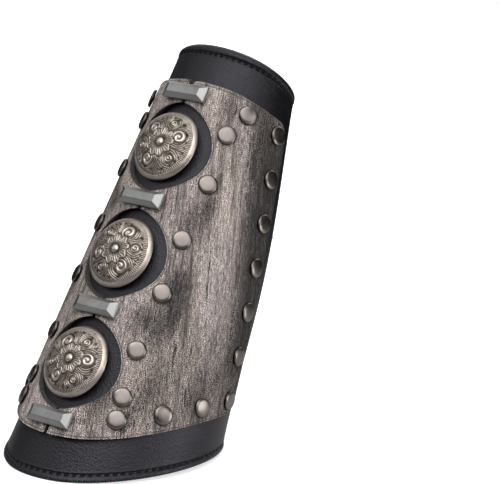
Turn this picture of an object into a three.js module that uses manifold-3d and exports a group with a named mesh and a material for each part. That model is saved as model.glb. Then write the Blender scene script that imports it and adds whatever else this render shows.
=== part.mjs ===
// Leather bracer, standing on its slanted elbow rim.
// Millimetres, +Z up, front line towards -Y, lacing at the back.
import * as THREE from 'three';
import { mergeVertices } from 'three/addons/utils/BufferGeometryUtils.js';
import Module from 'manifold-3d';

const wasm = await Module();
wasm.setup();

// Sleeve: level sections are ellipses that taper and lean back from elbow to wrist.
const SECTION_HEIGHT = 200;
const ELBOW_WIDTH = 101.9;
const ELBOW_DEPTH = 121.3;
const WRIST_WIDTH = 63.8;
const WRIST_DEPTH = 57.4;
const ELBOW_SET = -0.9;
const WRIST_SET = 91.5;
const WRIST_RIM_HEIGHT = 185.6;
const WRIST_RIM_SLANT = 17.8;
const WRIST_RIM_DIP = 1.1;
const ELBOW_RIM_ARCH = 2.3;
const BULGE_WIDTH = 2;
const BULGE_DEPTH = 3;
const BULGE_PEAK = 90;
const SLEEVE_WALL = 2.4;
const LACING_GAP = 18;

// Panels
const CLEARANCE = 0.3;
const PANEL_WALL = 2.4;
const PANEL_SEAM = 2;
const PANEL_FOOT = 20.4;
const PANEL_FOOT_LIFT = 2.2;
const PANEL_HEAD = 16.8;
const PANEL_HEAD_DROP = 3.5;
const PANEL_REACH_ELBOW = 107.5;
const PANEL_REACH_WRIST = 62;
const PANEL_CORNER = 8;
const PANEL_COLUMNS = 14;

// Bars and discs along the front line
const BAR_SET_ELBOW = 6.8;
const BAR_SET_WRIST = 8.8;
const BAR_LENGTH = 27;
const BAR_WIDTH = 8.6;
const BAR_HEIGHT = 4;
const BAR_SKIRT = 1.6;
const BAR_BEVEL = 2.2;
const BAR_HIP = 3.4;
const DISC_DIAMETER = 38;
const DISC_RIM = 2.6;
const DISC_DOME = 5.6;
const OPENING_RADIUS = 24.3;
const OPENING_TIP_WRIST = 26;
const OPENING_TIP_ELBOW = 23.8;

// Rivets
const RIVET_DIAMETER = 10;
const RIVET_HEIGHT = 1.9;
const RIVET_SHANK = 2.6;
const RIVET_BURR = 4.6;
const RIVET_BURR_HEIGHT = 0.8;
const RIVET_MARGIN = 7.4;
const RIVET_INSET_ELBOW = 12;
const RIVET_INSET_WRIST = 6.5;
const RIVET_ROW_START = 32;
const RIVET_PITCH = 21.3;

// Lacing
const EYELETS = 5;
const EYELET_INSET = 9;
const EYELET_END = 22;
const EYELET_BORE = 5;
const EYELET_BARREL = 6;
const EYELET_FLANGE = 8.4;
const EYELET_LIP = 0.8;
const LACE_DIAMETER = 2.5;
const LACE_TURN = 3.7;
const LACE_SLACK = 3.4;
const KNOT_DROP = 13;
const KNOT_LIFT = 6.4;
const KNOT_RADIUS = 4.2;

// Facets round a rivet, an eyelet and the lace
const SMALL_SIDES = 7;

const finishes = {
  leather: { color: 0x1d1d1f, roughness: 0.5, metalness: 0 },
  panel: { color: 0x968e87, roughness: 0.8, metalness: 0 },
  disc: { color: 0x8f8579, roughness: 0.4, metalness: 1 },
  bar: { color: 0x858687, roughness: 0.35, metalness: 1 },
  rivet: { color: 0x8f8379, roughness: 0.35, metalness: 1 },
  eyelet: { color: 0x161616, roughness: 0.3, metalness: 0.6 },
  lace: { color: 0x0e0e0f, roughness: 0.6, metalness: 0 },
};

const lerp = THREE.MathUtils.lerp;
const degrees = THREE.MathUtils.degToRad;
const vector = (x, y, z) => new THREE.Vector3(x, y, z);

// How far the sides and the back swell between the rims, from 0 to 1, and the slope of it.
function swell(z) {
  if (z === BULGE_PEAK) return { share: 1, slope: 0 };
  const slope = z < BULGE_PEAK ? 1 / BULGE_PEAK : -1 / (SECTION_HEIGHT - BULGE_PEAK);
  return { share: 1 + slope * (z - BULGE_PEAK), slope };
}

// The level section at a height: half width, half depth and the centre's y. The front line is straight.
function section(z) {
  const rise = z / SECTION_HEIGHT;
  const { share } = swell(z);
  return {
    width: lerp(ELBOW_WIDTH, WRIST_WIDTH, rise) / 2 + BULGE_WIDTH * share,
    depth: lerp(ELBOW_DEPTH, WRIST_DEPTH, rise) / 2 + BULGE_DEPTH * share,
    centre: lerp(ELBOW_SET, WRIST_SET, rise) + BULGE_DEPTH * share,
  };
}

// Outward direction of the sleeve at an angle from the front line.
function outward(phi, z) {
  const { width, depth } = section(z);
  const { slope } = swell(z);
  const widening = (WRIST_WIDTH - ELBOW_WIDTH) / 2 / SECTION_HEIGHT + BULGE_WIDTH * slope;
  const deepening = (WRIST_DEPTH - ELBOW_DEPTH) / 2 / SECTION_HEIGHT + BULGE_DEPTH * slope;
  const setting = (WRIST_SET - ELBOW_SET) / SECTION_HEIGHT + BULGE_DEPTH * slope;
  const round = vector(width * Math.cos(phi), depth * Math.sin(phi), 0);
  const taper = vector(widening * Math.sin(phi), setting - deepening * Math.cos(phi), 1);
  return round.cross(taper).normalize();
}

function onSleeve(phi, z) {
  const { width, depth, centre } = section(z);
  return vector(width * Math.sin(phi), centre - depth * Math.cos(phi), z);
}

// Off the sleeve, square to the leather.
function above(phi, z, off) {
  return onSleeve(phi, z).addScaledVector(outward(phi, z), off);
}

// Off the sleeve by the same thickness but at the same height, which keeps the rims level.
function level(phi, z, off) {
  const out = outward(phi, z);
  const run = out.x * out.x + out.y * out.y;
  return onSleeve(phi, z).add(vector(out.x, out.y, 0).multiplyScalar(off / run));
}

// The angle that lies a given girth away from the front line.
function angleAt(girth, z) {
  const { width, depth } = section(z);
  const steps = 48;
  let phi = 0;
  for (let i = 0; i < steps; i++) {
    const guess = phi + girth / steps / 2 / Math.hypot(width * Math.cos(phi), depth * Math.sin(phi));
    phi += girth / steps / Math.hypot(width * Math.cos(guess), depth * Math.sin(guess));
  }
  return phi;
}

// Repeats a step that depends on its own result until it has settled.
function settle(start, step) {
  let value = start;
  for (let i = 0; i < 6; i++) value = step(value);
  return value;
}

const wristRim = (phi) => WRIST_RIM_HEIGHT + WRIST_RIM_SLANT * Math.cos(phi)
  - WRIST_RIM_DIP * Math.cos(2 * phi);

// The elbow rim is flat in front and at the back and arches a little at the sides.
function elbowRim(phi) {
  const flatShare = 0.1;
  return ELBOW_RIM_ARCH * Math.max(0, (Math.sin(phi) ** 2 - flatShare) / (1 - flatShare));
}

const panelFoot = (phi) => elbowRim(phi) + PANEL_FOOT + PANEL_FOOT_LIFT * Math.sin(phi) ** 4;
const panelHead = (phi) => wristRim(phi) - PANEL_HEAD - PANEL_HEAD_DROP * Math.sin(phi) ** 4;

// Where a point lies that is some girth away from the front line, square to the arm's axis.
function squareTo(frontHeight, girth) {
  const slope = (WRIST_SET - ELBOW_SET) / SECTION_HEIGHT;
  const side = Math.sign(girth);
  const place = (z) => {
    const phi = angleAt(Math.abs(girth), z);
    return { phi, z: frontHeight - slope * section(z).depth * (1 - Math.cos(phi)) };
  };
  const z = settle(frontHeight, (height) => place(height).z);
  return { phi: side * place(z).phi, z };
}

// Frame on the front line: x across, y up along the line, z outward.
function frontFrame(z, off) {
  const out = outward(0, z);
  const across = vector(1, 0, 0);
  const up = out.clone().cross(across);
  return new THREE.Matrix4().makeBasis(across, up, out).setPosition(above(0, z, off));
}

const frontRise = frontRiseOf();
function frontRiseOf() {
  const line = onSleeve(0, SECTION_HEIGHT).sub(onSleeve(0, 0));
  return line.z / line.length();
}

const lowBar = panelFoot(0) + BAR_SET_ELBOW * frontRise;
const highBar = panelHead(0) - BAR_SET_WRIST * frontRise;
const barHeights = [3, 2, 1, 0].map((i) => lerp(lowBar, highBar, i / 3));
const discHeights = [2.5, 1.5, 0.5].map((i) => lerp(lowBar, highBar, i / 3));

// A closed geometry from points and triangles.
function closed(points, triangles) {
  const geometry = new THREE.BufferGeometry();
  geometry.setAttribute('position', new THREE.Float32BufferAttribute(points.flatMap((p) => p.toArray()), 3));
  geometry.setIndex(triangles);
  return geometry;
}

// A wall between an outer and an inner face, each a grid of columns and rows.
function wall(columns, rows, outer, inner) {
  const points = [];
  const triangles = [];
  const quad = (a, b, c, d) => triangles.push(a, b, c, a, c, d);
  for (const face of [outer, inner]) {
    for (let j = 0; j <= rows; j++) {
      for (let i = 0; i <= columns; i++) points.push(face(i / columns, j));
    }
  }
  const size = points.length / 2;
  const at = (i, j) => j * (columns + 1) + i;
  for (let j = 0; j < rows; j++) {
    for (let i = 0; i < columns; i++) {
      quad(at(i, j), at(i + 1, j), at(i + 1, j + 1), at(i, j + 1));
      quad(size + at(i, j), size + at(i, j + 1), size + at(i + 1, j + 1), size + at(i + 1, j));
    }
    quad(at(0, j), at(0, j + 1), size + at(0, j + 1), size + at(0, j));
    quad(at(columns, j), size + at(columns, j), size + at(columns, j + 1), at(columns, j + 1));
  }
  for (let i = 0; i < columns; i++) {
    quad(at(i, 0), size + at(i, 0), size + at(i + 1, 0), at(i + 1, 0));
    quad(at(i, rows), at(i + 1, rows), size + at(i + 1, rows), size + at(i, rows));
  }
  return closed(points, triangles);
}

// Solids for joining and cutting
function solid(geometry) {
  const bare = geometry.clone();
  bare.deleteAttribute('normal');
  bare.deleteAttribute('uv');
  const merged = mergeVertices(bare, 1e-5);
  return new wasm.Manifold(new wasm.Mesh({
    numProp: 3,
    vertProperties: new Float32Array(merged.attributes.position.array),
    triVerts: new Uint32Array(merged.index.array),
  }));
}

function fromSolid(body) {
  const mesh = body.getMesh();
  const geometry = new THREE.BufferGeometry();
  geometry.setAttribute('position', new THREE.BufferAttribute(new Float32Array(mesh.vertProperties), 3));
  geometry.setIndex(new THREE.BufferAttribute(new Uint32Array(mesh.triVerts), 1));
  return geometry;
}

function cut(geometry, cutters) {
  let body = solid(geometry);
  for (const cutter of cutters) body = body.subtract(solid(cutter));
  return fromSolid(body);
}

function mirrored(geometry) {
  const copy = geometry.clone();
  copy.applyMatrix4(new THREE.Matrix4().makeScale(-1, 1, 1));
  const index = copy.index.array;
  for (let i = 0; i < index.length; i += 3) {
    const first = index[i];
    index[i] = index[i + 1];
    index[i + 1] = first;
  }
  return copy;
}

// A drill that clears a round shank of the given radius, square to the leather.
function drill(phi, z, radius, sides) {
  const stack = SLEEVE_WALL + PANEL_WALL + CLEARANCE;
  const geometry = new THREE.CylinderGeometry(1, 1, 3 * stack, sides);
  geometry.scale(radius / Math.cos(Math.PI / sides), 1, radius / Math.cos(Math.PI / sides));
  const turn = new THREE.Quaternion().setFromUnitVectors(vector(0, 1, 0), outward(phi, z));
  geometry.applyQuaternion(turn);
  const place = onSleeve(phi, z);
  geometry.translate(place.x, place.y, place.z);
  return geometry;
}

// Height of a row of the panel at an angle. One row follows the widest level of the sleeve.
function rowHeight(row, phi) {
  return row.peak ? BULGE_PEAK : lerp(panelFoot(phi), panelHead(phi), row.share);
}

// The right panel's back edge in a row, as an angle, with rounded corners.
function panelBack(row) {
  return settle(Math.PI / 2, (phi) => {
    const z = rowHeight(row, phi);
    const share = (z - panelFoot(phi)) / (panelHead(phi) - panelFoot(phi));
    return angleAt(lerp(PANEL_REACH_ELBOW, PANEL_REACH_WRIST, share) - row.inset, z);
  });
}

// Rows of the panel: its share of the height, and how far the back corner is set in.
function panelRows() {
  const height = panelHead(Math.PI / 2) - panelFoot(Math.PI / 2);
  const steps = [0, 45, 90].map(degrees);
  const corner = steps.map((turn) => ({
    share: PANEL_CORNER * (1 - Math.cos(turn)) / height,
    inset: PANEL_CORNER * (1 - Math.sin(turn)),
  }));
  const top = corner.map(({ share, inset }) => ({ share: 1 - share, inset })).reverse();
  return [...corner, { peak: true, inset: 0 }, ...top];
}

// The two ends of an opening: how far the tip lies from the disc's middle, and how pointed it is,
// where 1 is round.
const openingEnds = {
  wrist: { tip: OPENING_TIP_WRIST, point: 1.2 },
  elbow: { tip: OPENING_TIP_ELBOW, point: 1.36 },
};

// A plug that cuts one round opening, as an outline on the leather and its two lids.
function openingPlug(discHeight) {
  const sides = 20;
  const low = -SLEEVE_WALL / 2;
  const high = 2 * PANEL_WALL;
  const outline = [];
  for (let i = 0; i < sides; i++) {
    const turn = 2 * Math.PI * i / sides;
    const { tip, point } = Math.cos(turn) > 0 ? openingEnds.wrist : openingEnds.elbow;
    const half = OPENING_RADIUS * Math.sign(Math.sin(turn)) * Math.abs(Math.sin(turn)) ** point;
    outline.push(squareTo(discHeight + tip * Math.cos(turn) * frontRise, half));
  }
  const points = [];
  for (const off of [high, low]) {
    for (const { phi, z } of outline) points.push(above(phi, z, off));
    points.push(above(0, discHeight, off));
  }
  const triangles = [];
  const size = sides + 1;
  for (let i = 0; i < sides; i++) {
    const next = (i + 1) % sides;
    triangles.push(sides, next, i, size + sides, size + i, size + next);
    triangles.push(i, next, size + next, i, size + next, size + i);
  }
  return closed(points, triangles);
}

// Rivets of the right panel, as angles and heights.
// Two stand beside each opening, at the panel's margin from its edge.
const besideOpenings = [
  { disc: 0, turn: 27 },
  { disc: 0, turn: -24 },
  { disc: 1, turn: 29 },
  { disc: 1, turn: -25 },
  { disc: 2, turn: 28 },
  { disc: 2, turn: -17 },
];

function rivetPlaces() {
  const places = [];
  const ring = OPENING_RADIUS + RIVET_MARGIN;
  for (const { disc, turn } of besideOpenings) {
    const height = discHeights[disc] + ring * Math.sin(degrees(turn)) * frontRise;
    places.push(squareTo(height, ring * Math.cos(degrees(turn))));
  }
  const footRow = (girth) => {
    const z = settle(PANEL_FOOT, (height) => panelFoot(angleAt(girth, height)) + RIVET_MARGIN);
    return { phi: angleAt(girth, z), z };
  };
  const headRow = (girth) => {
    const z = settle(WRIST_RIM_HEIGHT, (height) => panelHead(angleAt(girth, height)) - RIVET_MARGIN);
    return { phi: angleAt(girth, z), z };
  };
  const footEnd = PANEL_REACH_ELBOW - RIVET_INSET_ELBOW;
  const headEnd = PANEL_REACH_WRIST - RIVET_INSET_WRIST;
  const footCount = Math.max(2, Math.round((footEnd - RIVET_ROW_START) / RIVET_PITCH) + 1);
  for (let i = 0; i < footCount; i++) {
    places.push(footRow(lerp(RIVET_ROW_START, footEnd, i / (footCount - 1))));
  }
  const low = footRow(footEnd);
  const high = headRow(headEnd);
  const backCount = Math.round((high.z - low.z) / RIVET_PITCH);
  for (let i = 1; i <= backCount; i++) {
    const z = lerp(low.z, high.z, i / backCount);
    places.push({ phi: angleAt(lerp(footEnd, headEnd, i / backCount), z), z });
  }
  places.push(headRow(headEnd - RIVET_PITCH));
  return places;
}

const rivets = rivetPlaces();

// Eyelets of the right edge, from elbow to wrist.
// A place on the back: x across from the middle of the gap.
const backAngle = (x, z) => Math.PI - Math.asin(x / section(z).width);
const behind = (x, z, off) => above(backAngle(x, z), z, off);
const eyeletX = LACING_GAP / 2 + EYELET_INSET;

function eyeletHeights() {
  const line = onSleeve(Math.PI, SECTION_HEIGHT).sub(onSleeve(Math.PI, 0));
  const rise = line.z / line.length();
  const low = EYELET_END * rise;
  const high = wristRim(Math.PI) - EYELET_END * rise;
  return Array.from({ length: EYELETS }, (_, i) => lerp(low, high, i / (EYELETS - 1)));
}

const eyelets = eyeletHeights();

function baseSleeve() {
  const columns = 36;
  const levels = [elbowRim, () => BULGE_PEAK, wristRim];
  const face = (off) => (share, row) => {
    const phi = settle(Math.PI, (turn) => (2 * share - 1) * backAngle(LACING_GAP / 2, levels[row](turn)));
    return level(phi, levels[row](phi), off);
  };
  const drills = [];
  for (const side of [1, -1]) {
    for (const { phi, z } of rivets) drills.push(drill(side * phi, z, RIVET_SHANK / 2 + CLEARANCE, 4));
    for (const z of eyelets) {
      drills.push(drill(backAngle(side * eyeletX, z), z, EYELET_BARREL / 2 + CLEARANCE, 6));
    }
  }
  return cut(wall(columns, levels.length - 1, face(0), face(-SLEEVE_WALL)), drills);
}

function rightPanel() {
  const rows = panelRows();
  const face = (off) => (share, number) => {
    const row = rows[number];
    const seam = settle(0, (phi) => Math.asin(PANEL_SEAM / 2 / section(rowHeight(row, phi)).width));
    const phi = lerp(seam, panelBack(row), share);
    return level(phi, rowHeight(row, phi), off);
  };
  const blank = wall(PANEL_COLUMNS, rows.length - 1, face(CLEARANCE + PANEL_WALL), face(CLEARANCE));
  const drills = rivets.map(({ phi, z }) => drill(phi, z, RIVET_SHANK / 2 + CLEARANCE, 4));
  return cut(blank, [...discHeights.map(openingPlug), ...drills]);
}

// Cast disc: rings from the middle outward, each at a share of the radius.
// lobes and swing raise and lower the ring around the disc, turn shifts the lobes.
const discRings = [
  { radius: 0.13, height: 0.9, lobes: 0, swing: 0, turn: 0 },
  { radius: 0.28, height: 0.88, lobes: 8, swing: 0.1, turn: 0 },
  { radius: 0.4, height: 0.7, lobes: 8, swing: 0.09, turn: 0 },
  { radius: 0.54, height: 0.7, lobes: 4, swing: 0.12, turn: 0.5 },
  { radius: 0.68, height: 0.56, lobes: 8, swing: 0.11, turn: 0.5 },
  { radius: 0.8, height: 0.4, lobes: 8, swing: 0.05, turn: 0 },
  { radius: 0.93, height: 0.27, lobes: 0, swing: 0, turn: 0 },
  { radius: 1.0, height: 0.1, lobes: 0, swing: 0, turn: 0 },
];

function disc(spin) {
  const sides = 32;
  const radius = DISC_DIAMETER / 2;
  const points = [vector(0, 0, DISC_RIM + DISC_DOME)];
  for (const ring of discRings) {
    for (let i = 0; i < sides; i++) {
      const turn = 2 * Math.PI * i / sides;
      const lobe = ring.swing * Math.cos(ring.lobes * (turn - spin) + ring.turn * 2 * Math.PI);
      const height = DISC_RIM / 2 + (DISC_RIM / 2 + DISC_DOME) * (ring.height + lobe);
      points.push(vector(
        ring.radius * radius * Math.cos(turn),
        ring.radius * radius * Math.sin(turn),
        height,
      ));
    }
  }
  const foot = radius - DISC_RIM / 2;
  for (let i = 0; i < sides; i++) {
    const turn = 2 * Math.PI * i / sides;
    points.push(vector(foot * Math.cos(turn), foot * Math.sin(turn), 0));
  }
  points.push(vector(0, 0, 0));
  const triangles = [];
  const rings = discRings.length + 1;
  const last = points.length - 1;
  for (let i = 0; i < sides; i++) {
    const next = (i + 1) % sides;
    triangles.push(0, 1 + i, 1 + next);
    for (let r = 0; r < rings - 1; r++) {
      const a = 1 + r * sides;
      const b = a + sides;
      triangles.push(a + i, b + i, b + next, a + i, b + next, a + next);
    }
    const a = 1 + (rings - 1) * sides;
    triangles.push(last, a + next, a + i);
  }
  return closed(points, triangles);
}

// Bar: a low skirt with a bevelled roof that is hipped at both ends.
function bar() {
  const x = BAR_LENGTH / 2;
  const y = BAR_WIDTH / 2;
  const rectangle = (dx, dy, z) => [
    vector(-x + dx, -y + dy, z),
    vector(x - dx, -y + dy, z),
    vector(x - dx, y - dy, z),
    vector(-x + dx, y - dy, z),
  ];
  const points = [
    ...rectangle(0, 0, 0),
    ...rectangle(0, 0, BAR_SKIRT),
    ...rectangle(BAR_HIP, BAR_BEVEL, BAR_HEIGHT),
  ];
  const triangles = [0, 2, 1, 0, 3, 2, 8, 9, 10, 8, 10, 11];
  for (const ring of [0, 4]) {
    for (let i = 0; i < 4; i++) {
      const a = ring + i;
      const b = ring + (i + 1) % 4;
      triangles.push(a, b, b + 4, a, b + 4, a + 4);
    }
  }
  return closed(points, triangles);
}

// Rivet about +Y, with its origin on the sleeve's outer face.
function rivet() {
  const seat = 2 * CLEARANCE + PANEL_WALL;
  const under = -SLEEVE_WALL - 2 * CLEARANCE;
  const radius = RIVET_DIAMETER / 2;
  const profile = [
    [0, under - RIVET_BURR_HEIGHT],
    [RIVET_BURR / 2, under],
    [RIVET_SHANK / 2, under],
    [RIVET_SHANK / 2, seat],
    [radius, seat],
    [0.8 * radius, seat + 0.75 * RIVET_HEIGHT],
    [0, seat + RIVET_HEIGHT],
  ].map(([x, y]) => new THREE.Vector2(x, y));
  return new THREE.LatheGeometry(profile, SMALL_SIDES);
}

// Eyelet about +Y, with its origin on the sleeve's outer face.
function eyelet() {
  const profile = [
    [EYELET_BORE / 2, -SLEEVE_WALL],
    [EYELET_BARREL / 2, -SLEEVE_WALL],
    [EYELET_BARREL / 2, CLEARANCE],
    [EYELET_FLANGE / 2, CLEARANCE],
    [EYELET_BORE / 2, CLEARANCE + EYELET_LIP],
    [EYELET_BORE / 2, -SLEEVE_WALL],
  ].map(([x, y]) => new THREE.Vector2(x, y));
  return new THREE.LatheGeometry(profile, SMALL_SIDES);
}

// A smooth run whose steps fall evenly between its points, closer in the tight turns.
class Run extends THREE.CatmullRomCurve3 {
  constructor(points) {
    super(points, false, 'centripetal');
  }

  getPointAt(share, target) {
    return this.getPoint(share, target);
  }

  getTangentAt(share, target) {
    return this.getTangent(share, target);
  }

  getSpacedPoints(count) {
    return this.getPoints(count);
  }
}

function cord(points, stepsPerPoint) {
  const outline = new THREE.Shape(Array.from({ length: SMALL_SIDES }, (_, i) => {
    const turn = 2 * Math.PI * i / SMALL_SIDES;
    return new THREE.Vector2(Math.cos(turn), Math.sin(turn)).multiplyScalar(LACE_DIAMETER / 2);
  }));
  return new THREE.ExtrudeGeometry(outline, {
    steps: stepsPerPoint * (points.length - 1),
    bevelEnabled: false,
    extrudePath: new Run(points),
  });
}

// One half of the lacing, from the elbow pair up to the wrist pair.
// It passes out through the even pairs and in through the odd ones, changing sides each time.
function lacingHalf(first) {
  const middle = -SLEEVE_WALL / 2 + CLEARANCE;
  const play = (EYELET_BORE - LACE_DIAMETER) / 2 - CLEARANCE;
  const points = [];
  eyelets.forEach((z, k) => {
    const side = k % 2 === 0 ? first : -first;
    const outgoing = k % 2 === 0;
    for (const turn of [-90, -45, 0, 45, 90].map(degrees)) {
      const x = eyeletX + play / 2 - LACE_TURN * (1 - Math.cos(turn));
      const off = middle + LACE_TURN * Math.sin(outgoing ? turn : -turn);
      points.push(behind(side * x, z, off));
    }
    if (k === eyelets.length - 1) return;
    const over = (k < 2) === (first > 0);
    const reach = over ? LACE_SLACK + LACE_DIAMETER + 2 * CLEARANCE : LACE_SLACK;
    const off = outgoing ? reach : middle - LACE_TURN - reach + LACE_SLACK;
    points.push(behind(0, (z + eyelets[k + 1]) / 2, off));
  });
  return points;
}

// The knot lies on the outside between the two upper pairs.
const knotHeight = eyelets[EYELETS - 1] - KNOT_DROP;
const knotMiddle = behind(0, knotHeight, KNOT_LIFT);

// A place beside the knot: across, up and outward, in multiples of the lace's diameter.
function besideKnot([across, up, out]) {
  return knotMiddle.clone().add(vector(across, out, up).multiplyScalar(LACE_DIAMETER));
}

// The bow's loop and the free tail, on the right side.
const loopRoute = [
  [1.95, 0.3, 0.1],
  [3.3, 0.2, 0.0],
  [4.8, -1.4, -0.5],
  [5.4, -4.4, -1.3],
  [5.0, -7.4, -2.0],
  [3.9, -8.6, -2.2],
  [3.0, -7.2, -1.7],
  [2.5, -4.4, -0.7],
  [2.1, -2.4, -0.1],
  [1.5, -1.3, 0.1],
];
const tailRoute = [
  [0.7, -1.0, 1.5],
  [1.2, -2.4, 1.9],
  [1.5, -4.8, 2.0],
  [1.7, -8.0, 2.0],
  [1.8, -11.5, 2.0],
  [1.9, -15.0, 2.0],
];

const flip = (points, side) => points.map(([across, up, out]) => [side * across, up, out]);

function lace() {
  const right = lacingHalf(1);
  const left = lacingHalf(-1);
  const toKnot = (side) => [[3.9, 2.9, -1.5], [2.6, 1.9, -0.9], [1.75, 1.25, -0.45]]
    .map(([across, up, out]) => besideKnot([side * across, up, out]));
  const crossing = behind(0, eyelets[0], -SLEEVE_WALL / 2 + CLEARANCE - LACE_TURN);
  return [
    ...toKnot(-1).reverse(), ...left.reverse(), crossing, ...right, ...toKnot(1),
  ];
}

function knot() {
  const geometry = new THREE.SphereGeometry(KNOT_RADIUS, 10, 6);
  geometry.scale(1, 0.95, 0.9);
  return geometry;
}

// Assembly
const bracer = new THREE.Group();

function add(name, finish, geometry) {
  const mesh = new THREE.Mesh(geometry, new THREE.MeshStandardMaterial(finishes[finish]));
  mesh.name = name;
  bracer.add(mesh);
  return mesh;
}

add('base_sleeve', 'leather', baseSleeve());
const panel = rightPanel();
add('panel_right', 'panel', panel);
add('panel_left', 'panel', mirrored(panel));

const discSpins = [10, 55, 100].map(degrees);
discHeights.forEach((z, i) => {
  add(`concho_${i + 1}`, 'disc', disc(discSpins[i])).applyMatrix4(frontFrame(z, CLEARANCE));
});
barHeights.forEach((z, i) => {
  add(`bar_${i + 1}`, 'bar', bar()).applyMatrix4(frontFrame(z, 2 * CLEARANCE + PANEL_WALL));
});

function stand(mesh, phi, z) {
  mesh.position.copy(onSleeve(phi, z));
  mesh.quaternion.setFromUnitVectors(vector(0, 1, 0), outward(phi, z));
}

for (const [name, side] of [['right', 1], ['left', -1]]) {
  rivets.forEach(({ phi, z }, i) => {
    const number = String(i + 1).padStart(2, '0');
    stand(add(`rivet_${name}_${number}`, 'rivet', rivet()), side * phi, z);
  });
  eyelets.forEach((z, i) => {
    stand(add(`eyelet_${name}_${i + 1}`, 'eyelet', eyelet()), backAngle(side * eyeletX, z), z);
  });
}

add('lace', 'lace', cord(lace(), 1));
add('lace_knot', 'lace', knot()).position.copy(knotMiddle);
for (const [name, side] of [['right', 1], ['left', -1]]) {
  add(`lace_loop_${name}`, 'lace', cord(flip(loopRoute, side).map(besideKnot), 1));
  add(`lace_tail_${name}`, 'lace', cord(flip(tailRoute, side).map(besideKnot), 1));
}

// The origin is the middle of the whole bracer's box, on the surface that it stands on.
const whole = new THREE.Group();
const box = new THREE.Box3().setFromObject(bracer, true);
bracer.position.set(-(box.min.x + box.max.x) / 2, -(box.min.y + box.max.y) / 2, -box.min.z);
whole.add(bracer);
export default whole;
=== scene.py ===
"""Looks of the leather bracer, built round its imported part.

Blender's units are metres; sizes below are millimetres, as on a maker's drawing. +Z is up,
the front line with the discs faces -Y, and the lacing is at the back.
"""
import math

import bpy
import numpy as np
from mathutils import Matrix, Vector


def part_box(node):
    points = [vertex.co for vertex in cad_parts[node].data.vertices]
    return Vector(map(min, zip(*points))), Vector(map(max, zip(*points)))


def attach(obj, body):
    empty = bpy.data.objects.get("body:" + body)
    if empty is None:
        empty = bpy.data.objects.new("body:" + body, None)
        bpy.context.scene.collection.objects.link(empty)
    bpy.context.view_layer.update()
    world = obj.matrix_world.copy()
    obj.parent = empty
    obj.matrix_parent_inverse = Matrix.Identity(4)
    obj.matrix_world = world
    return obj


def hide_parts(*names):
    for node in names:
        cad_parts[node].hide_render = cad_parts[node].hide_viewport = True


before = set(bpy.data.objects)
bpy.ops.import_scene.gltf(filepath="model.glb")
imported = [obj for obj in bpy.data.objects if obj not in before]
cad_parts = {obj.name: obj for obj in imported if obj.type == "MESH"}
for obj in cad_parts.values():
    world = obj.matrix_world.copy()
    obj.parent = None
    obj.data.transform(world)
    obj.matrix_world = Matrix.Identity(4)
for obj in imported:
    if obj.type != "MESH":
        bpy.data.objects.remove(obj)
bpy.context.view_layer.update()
MM = 0.001

# Sleeve: level sections are ellipses that taper and lean back from elbow to wrist.
SECTION_HEIGHT = 200.0
ELBOW_WIDTH, ELBOW_DEPTH, ELBOW_SET = 101.9, 121.3, -0.9
WRIST_WIDTH, WRIST_DEPTH, WRIST_SET = 63.8, 57.4, 91.5
WRIST_RIM_HEIGHT, WRIST_RIM_SLANT, WRIST_RIM_DIP = 185.6, 17.8, 1.1
ELBOW_RIM_ARCH = 2.3
BULGE_WIDTH, BULGE_DEPTH, BULGE_PEAK = 2.0, 3.0, 90.0
SLEEVE_WALL = 2.4
LACING_GAP = 18.0
HEM = 3.7
HEM_PUFF, HEM_GROOVE, HEM_PULL, HEM_LIP = 0.5, 0.25, 0.65, 0.22
# length and half girth by which the sleeve's points are spaced
POINT_SPAN, POINT_HALF_GIRTH = 185.0, 165.0

# Panels
CLEARANCE = 0.3
PANEL_WALL = 2.4
PANEL_SEAM = 2.0
PANEL_FOOT, PANEL_FOOT_LIFT = 20.4, 2.2
PANEL_HEAD, PANEL_HEAD_DROP = 16.8, 3.5
PANEL_REACH_ELBOW, PANEL_REACH_WRIST = 107.5, 62.0
PANEL_CORNER, SEAM_CORNER = 8.0, 2.4
HIDE_TURN, HIDE_RISE, HIDE_LEAN = 45.0, 1.15, -0.2
# radius by which an angle is first guessed, and the panels' rows and columns of points
GUESS_RADIUS = 45.0
PANEL_ROWS, PANEL_COLUMNS = 120, 46

# Bars, discs and openings along the front line
BAR_SET_ELBOW, BAR_SET_WRIST = 6.8, 8.8
BAR_LENGTH, BAR_WIDTH, BAR_HEIGHT = 27.0, 8.6, 4.0
BAR_SKIRT, BAR_BEVEL, BAR_HIP = 1.6, 2.2, 3.4
DISC_DIAMETER, DISC_RIM, DISC_DOME = 38.0, 2.6, 5.6
OPENING_RADIUS = 24.3
# reach and roundness of each opening's end towards the wrist, 1, and the elbow, -1
OPENING_ENDS = {1: (26.0, 0.6), -1: (23.8, 0.68)}

# Rivets, eyelets, stitches and lace
RIVET_DIAMETER, RIVET_HEIGHT, RIVET_BURR, RIVET_SHANK = 10.0, 1.9, 4.6, 1.3
RIVET_MARGIN, RIVET_ROW_START, RIVET_PITCH = 7.4, 32.0, 21.3
RIVET_INSET_ELBOW, RIVET_INSET_WRIST = 12.0, 6.5
EYELETS = 5
EYELET_INSET, EYELET_END = 9.0, 22.0
EYELET_BORE, EYELET_BARREL, EYELET_FLANGE, EYELET_LIP = 5.0, 6.0, 8.4, 0.8
STITCH_PITCHES = (4.1, 3.4)
STITCH_LENGTH, STITCH_THICKNESS, STITCH_SINK = 2.3, 0.85, 0.4
LACE_DIAMETER, LACE_TURN, LACE_SLACK = 2.5, 3.7, 3.4
KNOT_DROP, KNOT_LIFT = 13.0, 6.4

# The part stands with its box's middle at the origin, so the elbow section is set forward.
SET_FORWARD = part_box("base_sleeve")[0][1] / MM + ELBOW_DEPTH / 2 - ELBOW_SET


def mix(low, high, share):
    return low + (high - low) * share


def stack(*parts):
    """Points from their coordinates, which are numbers or arrays."""
    return np.stack(np.broadcast_arrays(*parts), -1)


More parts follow.
